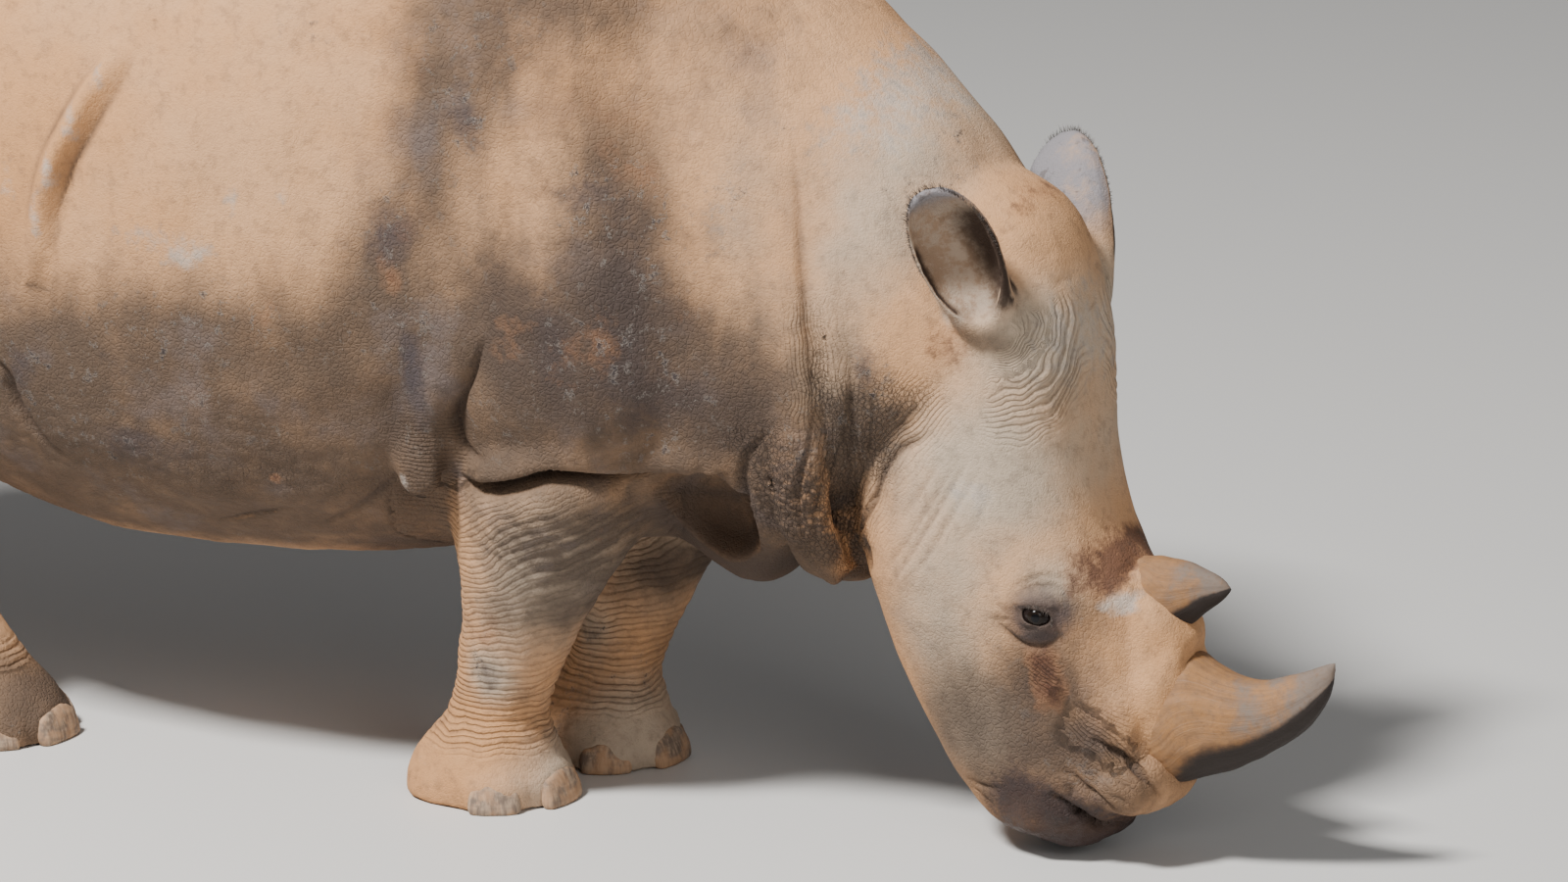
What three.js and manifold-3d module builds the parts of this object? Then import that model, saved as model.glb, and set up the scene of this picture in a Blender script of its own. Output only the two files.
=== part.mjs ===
// White rhinoceros, a still life-size model: a heavy adult grazing, head down, right hind foot well forward.
// Millimetres. +X is ahead, +Y is the animal's left, +Z is up, and the soles are level with z = 0.
import * as THREE from "three";
import { mergeVertices } from "three/addons/utils/BufferGeometryUtils.js";
import Module from "manifold-3d";

const wasm = await Module();
wasm.setup();

// ---- Driving dimensions -------------------------------------------------------------------------
const HEIGHT = 1680; // ground to the top of the shoulder hump
const TRUNK = 2440; // rump to the front of the chest
const BARREL = 1000; // greatest width of the belly
const HEAD = 1035; // crest behind the ears to the lips
const FACE = 400; // depth of the head from the forehead to the angle of the jaw
const CHEEKS = 375; // width of the head below the eyes
const FORE_SOLE = [256, 240]; // length and width
const HIND_SOLE = [244, 222];
const FRONT_HORN = 290; // from the nose to the tip
const FRONT_HORN_BASE = [222, 176]; // along the nose and across it
const REAR_HORN = 130; // from the brow to the tip
const REAR_HORN_BASE = [136, 112];
const EAR = 250; // from the root to the tip
const EAR_WIDTH = 150;
const EYE = 46; // diameter of the eyeball
const TAIL = 620;
const GAP = 0.3; // between touching pieces

const RIGHT = -1;
const LEFT = 1;
const SIDES = { right: RIGHT, left: LEFT };
const vec = (x, y, z) => new THREE.Vector3(x, y, z);
const { degToRad, clamp } = THREE.MathUtils;

// ---- Solids -------------------------------------------------------------------------------------
// A three.js geometry as a manifold-3d solid, its faces turned out.
function solid(geometry) {
  const bare = geometry.clone();
  bare.deleteAttribute("normal");
  bare.deleteAttribute("uv");
  const merged = mergeVertices(bare, 1e-3);
  const triVerts = new Uint32Array(merged.index.array);
  const vertProperties = merged.attributes.position.array;
  const make = () => new wasm.Manifold(new wasm.Mesh({ numProp: 3, vertProperties, triVerts }));
  const first = make();
  if (first.volume() > 0) return first;
  for (let i = 0; i < triVerts.length; i += 3)
    [triVerts[i + 1], triVerts[i + 2]] = [triVerts[i + 2], triVerts[i + 1]];
  return make();
}

function geometryOf(body) {
  const mesh = body.getMesh();
  const spots = new Float32Array(mesh.numVert * 3);
  for (let i = 0; i < mesh.numVert; i++)
    spots.set(mesh.vertProperties.subarray(i * mesh.numProp, i * mesh.numProp + 3), i * 3);
  return new THREE.BufferGeometry()
    .setAttribute("position", new THREE.BufferAttribute(spots, 3))
    .setIndex(new THREE.BufferAttribute(mesh.triVerts, 1));
}

const joined = (bodies) => bodies.reduce((sum, body) => sum.add(body));
const without = (body, cuts) => cuts.reduce((rest, cut) => rest.subtract(cut), body);
const posed = (body, matrix) => body.transform(matrix.elements);
const largest = (body) =>
  body.decompose().reduce((best, piece) => (piece.volume() > best.volume() ? piece : best));

// All that lies on the far side of a plane through a point.
function halfSpace(point, normal) {
  const reach = 8000;
  const turn = new THREE.Quaternion().setFromUnitVectors(vec(1, 0, 0), normal.clone().normalize());
  const geometry = new THREE.BoxGeometry(reach, reach, reach).translate(reach / 2, 0, 0);
  return solid(geometry.applyQuaternion(turn).translate(point.x, point.y, point.z));
}

// ---- Curved bodies ------------------------------------------------------------------------------
// A monotone cubic through values at places, so a profile doesn't wiggle between its stations.
function smooth(places, values) {
  const last = places.length - 1;
  const slope = places.slice(1).map((p, i) => (values[i + 1] - values[i]) / (p - places[i]));
  const lean = places.map((_, i) => {
    if (i === 0 || i === last) return slope[Math.min(i, last - 1)];
    const [a, b] = [slope[i - 1], slope[i]];
    return a * b <= 0 ? 0 : (2 * a * b) / (a + b);
  });
  return (p) => {
    let i = 0;
    while (i < last - 1 && p > places[i + 1]) i++;
    const step = places[i + 1] - places[i];
    const s = clamp((p - places[i]) / step, 0, 1);
    return (
      values[i] * (1 + 2 * s) * (1 - s) ** 2 +
      lean[i] * step * s * (1 - s) ** 2 +
      values[i + 1] * s * s * (3 - 2 * s) +
      lean[i + 1] * step * s * s * (s - 1)
    );
  };
}

const rounded = (c, corner) => Math.sign(c) * Math.abs(c) ** (2 / corner);

// A closed body along stations: each has a centre x, y, z, the pitch of its section in degrees (0 faces
// ahead and 90 faces down, where "up" points ahead), half sizes side, up and down, and corner (2 is an
// ellipse). Swells are soft lumps with a place, reach and height. The ends of a loft are points.
function loft(stations, { around, along, swells = [], grow = 0, bunching = 0.11 }) {
  const centres = stations.map((s) => vec(s.x, s.y ?? 0, s.z));
  const places = [0];
  for (let i = 1; i < centres.length; i++)
    places.push(places[i - 1] + centres[i].distanceTo(centres[i - 1]));
  const length = places[places.length - 1];
  const track = (pick) => smooth(places, stations.map(pick));
  const size = (key) => {
    const squared = track((s) => (s[key] ? (s[key] + grow) ** 2 : 0));
    return (p) => Math.sqrt(Math.max(0, squared(p)));
  };
  const [x, y, z] = ["x", "y", "z"].map((key) => track((s) => s[key] ?? 0));
  const pitch = track((s) => degToRad(s.pitch ?? 0));
  const corner = track((s) => s.corner ?? 2.2);
  const [side, up, down] = ["side", "up", "down"].map(size);
  const geometry = new THREE.SphereGeometry(1, around, along);
  const spots = geometry.attributes.position;
  const spot = vec(0, 0, 0);
  const out = vec(0, 0, 0);
  for (let i = 0; i < spots.count; i++) {
    spot.fromBufferAttribute(spots, i);
    const share = Math.acos(clamp(spot.y, -1, 1)) / Math.PI;
    const p = length * (share - bunching * Math.sin(2 * Math.PI * share));
    const turn = Math.atan2(spot.z, spot.x);
    const wide = side(p) * rounded(Math.cos(turn), corner(p));
    const high = (turn > 0 ? up(p) : down(p)) * rounded(Math.sin(turn), corner(p));
    out.set(high * Math.sin(pitch(p)), wide, high * Math.cos(pitch(p)));
    spot.set(x(p), y(p), z(p)).add(out);
    out.normalize();
    for (const swell of swells) {
      const lift = swell.height * Math.exp(-spot.distanceToSquared(swell.at) / swell.reach ** 2);
      spot.addScaledVector(out, lift);
    }
    spots.setXYZ(i, spot.x, spot.y, spot.z);
  }
  return solid(geometry);
}

// A tapered body along a curve through points. Its half sizes wide and thick are functions of the share
// of the length, and thick lies along the facing direction.
function taper(points, { wide, thick, facing, around = 10, along = 14, grow = 0, bunching = 0.05 }) {
  const curve = new THREE.CatmullRomCurve3(points, false, "centripetal");
  const geometry = new THREE.SphereGeometry(1, around, along);
  const spots = geometry.attributes.position;
  const spot = vec(0, 0, 0);
  for (let i = 0; i < spots.count; i++) {
    spot.fromBufferAttribute(spots, i);
    const level = Math.acos(clamp(spot.y, -1, 1)) / Math.PI;
    const share = clamp(level - bunching * Math.sin(2 * Math.PI * level), 0, 1);
    const turn = Math.atan2(spot.z, spot.x);
    const forward = curve.getTangentAt(share);
    const across = forward.clone().cross(facing).normalize();
    const over = across.clone().cross(forward);
    const open = share > 1e-6 && share < 1 - 1e-6 ? 1 : 0; // both ends close to a point
    spot.copy(curve.getPointAt(share));
    spot.addScaledVector(across, open * (wide(share) + grow) * Math.cos(turn));
    spot.addScaledVector(over, open * (thick(share) + grow) * Math.sin(turn));
    spots.setXYZ(i, spot.x, spot.y, spot.z);
  }
  return solid(geometry);
}

// A rounded block: half sizes, corner (2 is an ellipsoid), and its place and turn as a matrix.
function pad(half, matrix, { corner = 2.4, around = 18, along = 12, grow = 0 } = {}) {
  const geometry = new THREE.SphereGeometry(1, around, along);
  const spots = geometry.attributes.position;
  for (let i = 0; i < spots.count; i++) {
    const [a, b, c] = [spots.getX(i), spots.getY(i), spots.getZ(i)].map((v) => Math.abs(v));
    const stretch = 1 / (a ** corner + b ** corner + c ** corner) ** (1 / corner);
    spots.setX(i, spots.getX(i) * stretch * (half.x + grow));
    spots.setY(i, spots.getY(i) * stretch * (half.y + grow));
    spots.setZ(i, spots.getZ(i) * stretch * (half.z + grow));
  }
  return solid(geometry.applyMatrix4(matrix));
}

const turned = (at, pitch = 0, yaw = 0, roll = 0) =>
  new THREE.Matrix4()
    .makeRotationFromEuler(new THREE.Euler(degToRad(roll), degToRad(pitch), degToRad(yaw), "ZYX"))
    .setPosition(at);

// A half size that swells from nothing to full and back, as along a fold of skin.
const spindle = (full) => (share) => full * Math.sin(Math.PI * clamp(share, 0, 1)) ** 0.6;

// ---- Trunk and neck -----------------------------------------------------------------------------
// Places along the trunk are shares of its length from the rump, heights are shares of HEIGHT.
const RUMP_X = -1360;
function trunkStation(share, mid, top, bottom, half, corner = 2.25) {
  return {
    x: RUMP_X + share * TRUNK,
    z: mid * HEIGHT,
    up: (top - mid) * HEIGHT,
    down: (mid - bottom) * HEIGHT,
    side: (half * BARREL) / 2,
    corner,
  };
}

function trunk(grow) {
  const stations = [
    trunkStation(0, 0.665, 0.665, 0.665, 0),
    trunkStation(0.022, 0.655, 0.81, 0.5, 0.38),
    trunkStation(0.085, 0.63, 0.895, 0.42, 0.62),
    trunkStation(0.18, 0.605, 0.952, 0.345, 0.78),
    trunkStation(0.29, 0.58, 0.944, 0.28, 0.88),
    trunkStation(0.41, 0.56, 0.922, 0.22, 0.97, 2.35),
    trunkStation(0.53, 0.55, 0.915, 0.19, 1.0, 2.4),
    trunkStation(0.65, 0.555, 0.93, 0.192, 0.96, 2.4),
    trunkStation(0.74, 0.57, 0.975, 0.212, 0.87, 2.35),
    trunkStation(0.8, 0.585, 1.0, 0.232, 0.8, 2.3),
    trunkStation(0.86, 0.59, 0.962, 0.24, 0.74),
    trunkStation(0.92, 0.565, 0.838, 0.243, 0.66),
    trunkStation(0.97, 0.52, 0.68, 0.26, 0.52),
    trunkStation(1, 0.47, 0.47, 0.47, 0),
  ];
  return loft(stations, { around: 32, along: 28, grow });
}

function neck(grow) {
  const stations = [
    { x: 560, z: 1000, pitch: 0, side: 0, up: 0, down: 0 },
    { x: 680, z: 985, pitch: 2, side: 330, up: 560, down: 520 },
    { x: 920, z: 900, pitch: 8, side: 325, up: 468, down: 510 },
    { x: 1070, z: 815, pitch: 15, side: 290, up: 418, down: 480 },
    { x: 1200, z: 765, pitch: 28, side: 250, up: 316, down: 450 },
    { x: 1320, z: 700, pitch: 46, side: 190, up: 205, down: 300 },
    { x: 1390, z: 650, pitch: 60, side: 0, up: 0, down: 0 },
  ];
  return loft(stations, { around: 30, along: 16, grow });
}

// A collar of loose skin runs round the throat from one side of the nape to the other.
function collar(grow) {
  const half = [vec(1062, 130, 1215), vec(1098, 252, 1010), vec(1135, 262, 720), vec(1118, 170, 470)];
  const mirror = half.map((p) => vec(p.x, -p.y, p.z)).reverse();
  const points = [...half, vec(1095, 0, 392), ...mirror];
  return taper(points, {
    wide: spindle(28),
    thick: spindle(46),
    facing: vec(1, 0, 0),
    around: 8,
    along: 22,
    grow,
  });
}

// Loose skin fills the angle between the throat and the jaw.
const throat = (grow) =>
  pad(vec(120, 135, 150), turned(vec(1130, 0, 548), 14), { around: 14, along: 10, grow });

// The nape fills the angle between the neck and the crest of the head.
const nape = (grow) =>
  pad(vec(190, 168, 92), turned(vec(1256, -8, 956), 46), { corner: 3, around: 14, along: 10, grow });

// A fold runs down each flank in front of the thigh.
function flankFold(side, grow) {
  const at = (x, y, z) => vec(x, side * y, z);
  const points = [at(60, 455, 1210), at(-30, 478, 1060), at(-85, 486, 920), at(-95, 478, 800)];
  return taper(points, { wide: spindle(34), thick: spindle(22), facing: vec(0, side, 0), around: 8, grow });
}

// Each upper arm swells the side of the chest and overhangs the forearm, with a loose flap behind it.
const upperArm = (side, grow) => {
  const shape = { corner: 2.5, around: 18, along: 14, grow };
  return pad(vec(265, 150, 285), turned(vec(705, side * 232, 842), -8), shape);
};
const elbowFlap = (side, grow) =>
  pad(vec(42, 26, 84), turned(vec(520, side * 335, 552), -8), { around: 10, along: 8, grow });

// The chest is hollow ahead of each foreleg, on both sides of the brisket.
const armpit = (side, grow) =>
  pad(vec(98, 150, 95), turned(vec(950, side * 262, 486), 0), { around: 12, along: 7, grow: -grow });

// ---- Head, in its own frame: +X from the crest to the lips, +Z out of the forehead ------------------
const headPose = turned(vec(1362, -10, 1045), 75);
const both = (x, y, z, reach, height) =>
  [RIGHT, LEFT].map((side) => ({ at: vec(x * HEAD, side * y * CHEEKS, z * FACE), reach, height }));

function headStation(share, top, bottom, half, corner = 2.5) {
  const mid = (top + bottom) / 2;
  return {
    x: share * HEAD,
    z: mid * FACE,
    up: (top - mid) * FACE,
    down: (mid - bottom) * FACE,
    side: half * CHEEKS,
    corner,
  };
}

function headMass(grow) {
  const stations = [
    headStation(-0.035, -0.32, -0.32, 0, 2.2),
    headStation(0.015, 0.05, -0.66, 0.33, 2.3),
    headStation(0.09, 0.195, -0.78, 0.42, 2.5),
    headStation(0.2, 0.225, -0.82, 0.46, 2.65),
    headStation(0.32, 0.18, -0.84, 0.49, 2.6),
    headStation(0.43, 0.12, -0.86, 0.505, 2.5),
    headStation(0.52, 0.11, -0.87, 0.5, 2.5),
    headStation(0.6, 0.14, -0.875, 0.475, 2.5),
    headStation(0.68, 0.19, -0.865, 0.43, 2.5),
    headStation(0.76, 0.2, -0.82, 0.39, 2.5),
    headStation(0.84, 0.14, -0.755, 0.37, 2.6),
    headStation(0.91, 0.05, -0.66, 0.35, 2.7),
    headStation(0.96, -0.05, -0.54, 0.29, 2.6),
    headStation(0.985, -0.25, -0.25, 0, 2.4),
  ];
  const swells = [
    ...both(0.2, 0.42, -0.06, 75, 7), // roots of the ears
    ...both(0.6, 0.4, -0.03, 60, 9), // brows
    ...both(0.54, 0.44, -0.16, 60, -7), // hollows behind the eyes
    ...both(0.5, 0.36, -0.72, 95, 9), // angles of the jaw
    ...both(0.89, 0.3, 0.02, 48, 9), // sides of the nose
  ];
  return loft(stations, { around: 28, along: 26, swells, grow });
}

const EYE_SLIT = vec(30, 16, 27); // half length, half height and depth of the opening between the lids
const eyePose = (side) => {
  const at = vec(0.632 * HEAD, side * 0.4 * CHEEKS, -0.1 * FACE);
  const out = vec(0.05, side, 0.3).normalize();
  const along = vec(0.6, 0, 0.75);
  along.addScaledVector(out, -along.dot(out)).normalize();
  return new THREE.Matrix4().makeBasis(along, out.clone().cross(along), out).setPosition(at);
};
const eyeball = (side, radius) =>
  pad(vec(radius, radius, radius), eyePose(side), { corner: 2, around: 14, along: 8 });

// A nostril is a slit that curves down and forward below the front horn.
function nostril(side) {
  const at = (x, y, z) => vec(x, side * y, z);
  const points = [at(872, 122, 2), at(898, 124, 34), at(930, 116, 52), at(962, 92, 60)];
  return taper(points, {
    wide: spindle(13),
    thick: spindle(44),
    facing: vec(0, side, 0.35),
    around: 6,
    along: 12,
  });
}

// The line of the mouth runs from corner to corner round the front of the lips.
function mouth() {
  const halfLine = [vec(944, 128, -104), vec(980, 118, -76), vec(1004, 98, -42), vec(1012, 56, -14)];
  const mirror = halfLine.map((p) => vec(p.x, -p.y, p.z)).reverse();
  return taper([...halfLine, vec(1014, 0, -4), ...mirror], {
    wide: spindle(7),
    thick: spindle(30),
    facing: vec(1, 0, 0.35),
    around: 6,
    along: 18,
  });
}

function headForm(grow) {
  const lip = { corner: 2.5, around: 18, along: 10, grow };
  const lower = pad(vec(88, 112, 104), turned(vec(0.914 * HEAD, 0, -0.3 * FACE), 10), lip);
  const upper = pad(vec(56, 126, 66), turned(vec(0.908 * HEAD, 0, -0.02 * FACE), 32), lip);
  const boss = pad(vec(150, 86, 74), turned(vec(0.752 * HEAD, 0, 0.11 * FACE)), { ...lip, corner: 2.2 });
  const lids = [RIGHT, LEFT].map((side) => eyeball(side, EYE / 2 + 7 + grow));
  return joined([headMass(grow), lower, upper, boss, ...lids]);
}

// The head with its eye openings, nostrils and mouth.
function headCarved() {
  const sockets = [RIGHT, LEFT].map((side) => eyeball(side, EYE / 2 + GAP));
  const slits = [RIGHT, LEFT].map((side) => {
    const at = eyePose(side).multiply(new THREE.Matrix4().makeTranslation(0, 0, EYE / 2 + 6));
    return pad(EYE_SLIT, at, { corner: 2, around: 16, along: 10 });
  });
  return without(headForm(0), [...sockets, ...slits, nostril(RIGHT), nostril(LEFT), mouth()]);
}

// ---- Ears: a cup of thin skin on a stalk, open outwards, the right one turned a little ahead -----------
const EAR_SKIN = 8;
const EAR_TURNS = {
  [RIGHT]: { lean: -0.03, forward: 0.25, spread: 0.88 },
  [LEFT]: { lean: -0.15, forward: 0.04, spread: 1 },
};
function earPose(side) {
  const { lean, forward } = EAR_TURNS[side];
  const rootAt = vec(0.208 * HEAD, side * 0.455 * CHEEKS, 0.003 * FACE);
  const along = vec(-0.94, side * 0.28, lean).normalize();
  const open = vec(-0.06, side, forward);
  open.addScaledVector(along, -open.dot(along)).normalize();
  return new THREE.Matrix4().makeBasis(along, open.clone().cross(along), open).setPosition(rootAt);
}

// Along the ear: centre z, and half sizes across, up towards the opening and down to the back.
function earStation(share, z, across, up, down) {
  return { x: share * EAR, z, side: (across * EAR_WIDTH) / 2, up, down };
}

function ear(side) {
  const outer = [
    earStation(-0.42, -64, 0, 0, 0),
    earStation(-0.28, -48, 0.56, 34, 40),
    earStation(-0.08, -22, 0.72, 36, 46),
    earStation(0.1, -5, 0.76, 30, 50),
    earStation(0.3, 0, 0.9, 26, 50),
    earStation(0.5, 3, 1, 19, 48),
    earStation(0.7, 8, 0.94, 12, 40),
    earStation(0.87, 15, 0.7, 8, 25),
    earStation(0.96, 21, 0.42, 5, 13),
    earStation(1, 25, 0, 0, 0),
  ];
  const { spread } = EAR_TURNS[side];
  const spreading = (station) => ({ ...station, side: station.side * spread });
  const lined = (station, i) => ({
    ...station,
    side: station.side - EAR_SKIN / spread,
    up: station.up + 60,
    down: station.down - (i === 0 ? 2 : 1) * EAR_SKIN,
  });
  const hollow = outer.slice(4, -2).map(lined);
  const inner = [
    earStation(0.07, 40, 0, 0, 0),
    earStation(0.14, 18, 0.4, 60, 26),
    ...hollow,
    earStation(0.955, 60, 0.2, 60, 42),
    earStation(0.97, 60, 0, 0, 0),
  ];
  const skin = loft(outer.map(spreading), { around: 16, along: 15 });
  const hollowed = skin.subtract(loft(inner.map(spreading), { around: 14, along: 13 }));
  return posed(hollowed, earPose(side));
}

// ---- Horns, in the head's frame ---------------------------------------------------------------------
function profile(full, shares, sizes) {
  const shape = smooth(shares, sizes);
  return (share) => full * shape(clamp(share, 0, 1));
}

function frontHorn() {
  const [long, broad] = FRONT_HORN_BASE.map((v) => v / 2);
  const rise = ([along, out]) => vec(0.83 * HEAD + along * FRONT_HORN, 0, 0.12 * FACE + out * FRONT_HORN);
  const line = [
    [-0.01, -0.3],
    [0.01, 0.05],
    [0.075, 0.38],
    [0.07, 0.64],
    [-0.02, 0.88],
    [-0.155, 1.06],
  ];
  const shares = [0, 0.04, 0.3, 0.42, 0.6, 0.8, 0.93, 1];
  return taper(line.map(rise), {
    wide: profile(broad, shares, [0, 0.9, 1, 0.82, 0.55, 0.32, 0.14, 0]),
    thick: profile(long, shares, [0, 0.9, 1, 0.8, 0.54, 0.34, 0.16, 0]),
    facing: vec(1, 0, 0),
    around: 16,
    along: 18,
  });
}

function rearHorn() {
  const [long, broad] = REAR_HORN_BASE.map((v) => v / 2);
  const rise = ([along, out]) => vec(0.655 * HEAD + along * REAR_HORN, 0, 0.2 * FACE + out * REAR_HORN);
  const line = [
    [0, -0.75],
    [0, 0.15],
    [0, 0.55],
    [0.03, 0.85],
    [0.06, 1.02],
  ];
  const shares = [0, 0.06, 0.42, 0.56, 0.68, 0.8, 0.94, 1];
  return taper(line.map(rise), {
    wide: profile(broad, shares, [0, 0.9, 1, 0.84, 0.62, 0.4, 0.18, 0]),
    thick: profile(long, shares, [0, 0.9, 1, 0.86, 0.72, 0.5, 0.24, 0]),
    facing: vec(1, 0, 0),
    around: 14,
    along: 14,
  });
}

// ---- Legs -------------------------------------------------------------------------------------------
const ANKLE = 104; // height at which the foot begins
const TOES = { middle: 0, inner: -58, outer: 58 }; // degrees from straight ahead towards the outside

// A foot spreads to a flat sole with three toes.
function footStations([x, y], [long, wide]) {
  const ring = (z, share) => ({
    x,
    y,
    z,
    pitch: 90,
    side: (wide / 2) * share,
    up: (long / 2) * share,
    down: (long / 2) * share,
  });
  return [ring(62, 0.9), ring(22, 0.985), ring(-14, 0.97), { ...ring(-50, 0), side: 0, up: 0, down: 0 }];
}

function toeSwells([x, y], [long, wide]) {
  return Object.values(TOES).map((degrees) => {
    const turn = degToRad(degrees);
    const at = vec(x + (long / 2) * Math.cos(turn), y + (wide / 2) * Math.sin(turn), 34);
    return { at, reach: degrees === 0 ? 48 : 42, height: 11 };
  });
}

// The forearm leans from the foot up to the elbow, inside the chest.
function foreleg(foot, elbow, grow) {
  const ring = (z, lean, wide, front, back) => ({
    x: foot[0] + lean * (elbow[0] - foot[0]),
    y: foot[1] + lean * (elbow[1] - foot[1]),
    z,
    pitch: 90,
    side: wide,
    up: front,
    down: back,
  });
  const stations = [
    ring(820, 1.05, 0, 0, 0),
    ring(700, 1.05, 96, 130, 125),
    ring(530, 1, 138, 160, 150),
    ring(440, 0.88, 124, 150, 142),
    ring(360, 0.7, 104, 120, 117),
    ring(295, 0.54, 88, 93, 90),
    ring(240, 0.4, 80, 86, 85),
    ring(190, 0.28, 75, 77, 76),
    ring(142, 0.15, 76, 76, 76),
    ring(100, 0.06, 94, 98, 98),
    ...footStations(foot, FORE_SOLE),
  ];
  const swells = toeSwells(foot, FORE_SOLE);
  return loft(stations, { around: 18, along: 24, swells, grow, bunching: 0.04 });
}

// A hind leg runs through the hip, knee and hock: each ring has its own place and pitch.
function hindleg(side, foot, rings, grow) {
  const stations = [
    ...rings.map(([x, y, z, pitch, wide, front, back]) => ({
      x,
      y: side * y,
      z,
      pitch,
      side: wide,
      up: front,
      down: back,
    })),
    ...footStations(foot, HIND_SOLE),
  ];
  const swells = toeSwells(foot, HIND_SOLE);
  return loft(stations, { around: 18, along: 28, swells, grow, bunching: 0.04 });
}

const STRIDING_RINGS = [
  [-1010, 180, 1240, 88, 0, 0, 0],
  [-1000, 205, 1100, 82, 160, 290, 260],
  [-925, 235, 930, 68, 178, 290, 285],
  [-800, 260, 780, 60, 168, 232, 238],
  [-680, 268, 650, 56, 140, 178, 180],
  [-590, 268, 525, 60, 112, 130, 138],
  [-535, 264, 415, 66, 93, 97, 116],
  [-482, 262, 300, 62, 78, 82, 84],
  [-428, 260, 185, 68, 73, 78, 78],
  [-374, 260, 112, 84, 88, 96, 92],
];
const STANDING_RINGS = [
  [-1010, 180, 1240, 92, 0, 0, 0],
  [-1000, 210, 1090, 88, 160, 285, 260],
  [-960, 232, 920, 89, 178, 285, 265],
  [-915, 248, 770, 95, 165, 240, 225],
  [-912, 250, 645, 101, 134, 175, 175],
  [-950, 245, 520, 108, 110, 130, 136],
  [-1000, 234, 415, 104, 91, 96, 112],
  [-1018, 222, 300, 92, 77, 80, 82],
  [-1010, 210, 185, 86, 73, 76, 76],
  [-992, 203, 112, 88, 88, 94, 92],
];

// Each leg has its side, the middle and size of its sole, and its form, grown by a gap for cutting.
function fore(side, foot, elbow) {
  return { side, foot, sole: FORE_SOLE, shape: (grow) => foreleg(foot, elbow, grow) };
}
function hind(side, foot, rings) {
  return { side, foot, sole: HIND_SOLE, shape: (grow) => hindleg(side, foot, rings, grow) };
}
const LEGS = {
  foreleg_right: fore(RIGHT, [550, -180], [680, -205]),
  foreleg_left: fore(LEFT, [596, 92], [690, 195]),
  hindleg_right: hind(RIGHT, [-330, -260], STRIDING_RINGS),
  hindleg_left: hind(LEFT, [-980, 200], STANDING_RINGS),
};

// A nail is a broad shell on the front of a toe, its lower edge level with the sole.
function nail([x, y], [long, wide], degrees) {
  const turn = degToRad(degrees);
  const middle = degrees === 0;
  const at = vec(x + (long / 2 + 1) * Math.cos(turn), y + (wide / 2 + 1) * Math.sin(turn), 14);
  const half = vec(16, middle ? 53 : 42, middle ? 47 : 41);
  return pad(half, turned(at, -16, degrees), { corner: 2.7, around: 8, along: 5 });
}

// ---- Tail -------------------------------------------------------------------------------------------
const TUFT_TOP = 800;
function tailBody() {
  const end = 1320 - TAIL;
  const points = [
    vec(-1270, 0, 1360),
    vec(-1368, 0, 1310),
    vec(-1404, 0, 1170),
    vec(-1408, 0, 960),
    vec(-1400, 0, end),
  ];
  const size = profile(52, [0, 0.05, 0.2, 0.5, 0.85, 0.97, 1], [0, 0.9, 1, 0.55, 0.34, 0.24, 0]);
  return taper(points, { wide: size, thick: size, facing: vec(1, 0, 0), around: 9, along: 15 });
}

// Flat, tapered locks of stiff hair round the end of the tail, front and back.
function tuftLocks() {
  const count = 9;
  return Array.from({ length: count }, (_, i) => {
    const turn = (i / count) * 2 * Math.PI;
    const top = TUFT_TOP - 18 - 26 * (i % 3);
    const length = 115 + 22 * ((i * 5) % 4);
    const out = vec(Math.cos(turn), 0.6 * Math.sin(turn), 0);
    const spread = (share, reach) => vec(-1404, 0, top - share * length).addScaledVector(out, reach);
    const shape = (full) => (share) => full * Math.sin(Math.PI * Math.min(1, 0.12 + share * 0.9)) ** 0.8;
    return taper([spread(0, 5), spread(0.45, 20), spread(1, 24)], {
      wide: shape(8),
      thick: shape(3.5),
      facing: out,
      around: 4,
      along: 5,
    });
  });
}

// ---- Build ------------------------------------------------------------------------------------------
const SKIN = 0xa98f74;
const HORN = 0x8a6f52;
const NAIL = 0x6f6254;
const root = new THREE.Group();
const inner = new THREE.Group();
root.add(inner);
function addNode(name, body, color, roughness = 0.9) {
  const material = new THREE.MeshStandardMaterial({ color, roughness, metalness: 0 });
  const mesh = new THREE.Mesh(geometryOf(largest(body)), material);
  mesh.name = name;
  inner.add(mesh);
}

// The hide of trunk, neck and head is one body, parted where the neck leaves the chest and the head.
function hide(grow, head) {
  const sides = [RIGHT, LEFT].flatMap((side) =>
    [flankFold, upperArm, elbowFlap].map((shape) => shape(side, grow)),
  );
  const front = [neck, collar, throat, nape].map((shape) => shape(grow));
  const full = joined([trunk(grow), ...front, posed(head, headPose), ...sides]);
  return without(full, [armpit(RIGHT, grow), armpit(LEFT, grow)]);
}
const CHEST_CUT = { point: vec(985, 0, 900), normal: vec(1, 0, 0.12) };
const NAPE_CUT = { point: vec(1245, 0, 745), normal: vec(0.945, 0, -0.33) };
const ahead = ({ point, normal }, gap) => halfSpace(point.clone().addScaledVector(normal, gap), normal);

const whole = hide(0, headCarved());
addNode("torso", whole.subtract(ahead(CHEST_CUT, 0)), SKIN);
addNode("neck", whole.intersect(ahead(CHEST_CUT, GAP)).subtract(ahead(NAPE_CUT, 0)), SKIN);
addNode("head", whole.intersect(ahead(NAPE_CUT, GAP)), SKIN);

const hideGrown = hide(GAP, headForm(GAP));
for (const [name, side] of Object.entries(SIDES)) {
  addNode(`ear_${name}`, posed(ear(side), headPose).subtract(hideGrown), SKIN);
  addNode(`eye_${name}`, posed(eyeball(side, EYE / 2), headPose), 0x1c1512, 0.2);
}
addNode("horn_front", posed(frontHorn().subtract(headForm(GAP)), headPose), HORN, 0.6);
addNode("horn_rear", posed(rearHorn().subtract(headForm(GAP)), headPose), HORN, 0.6);

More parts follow.
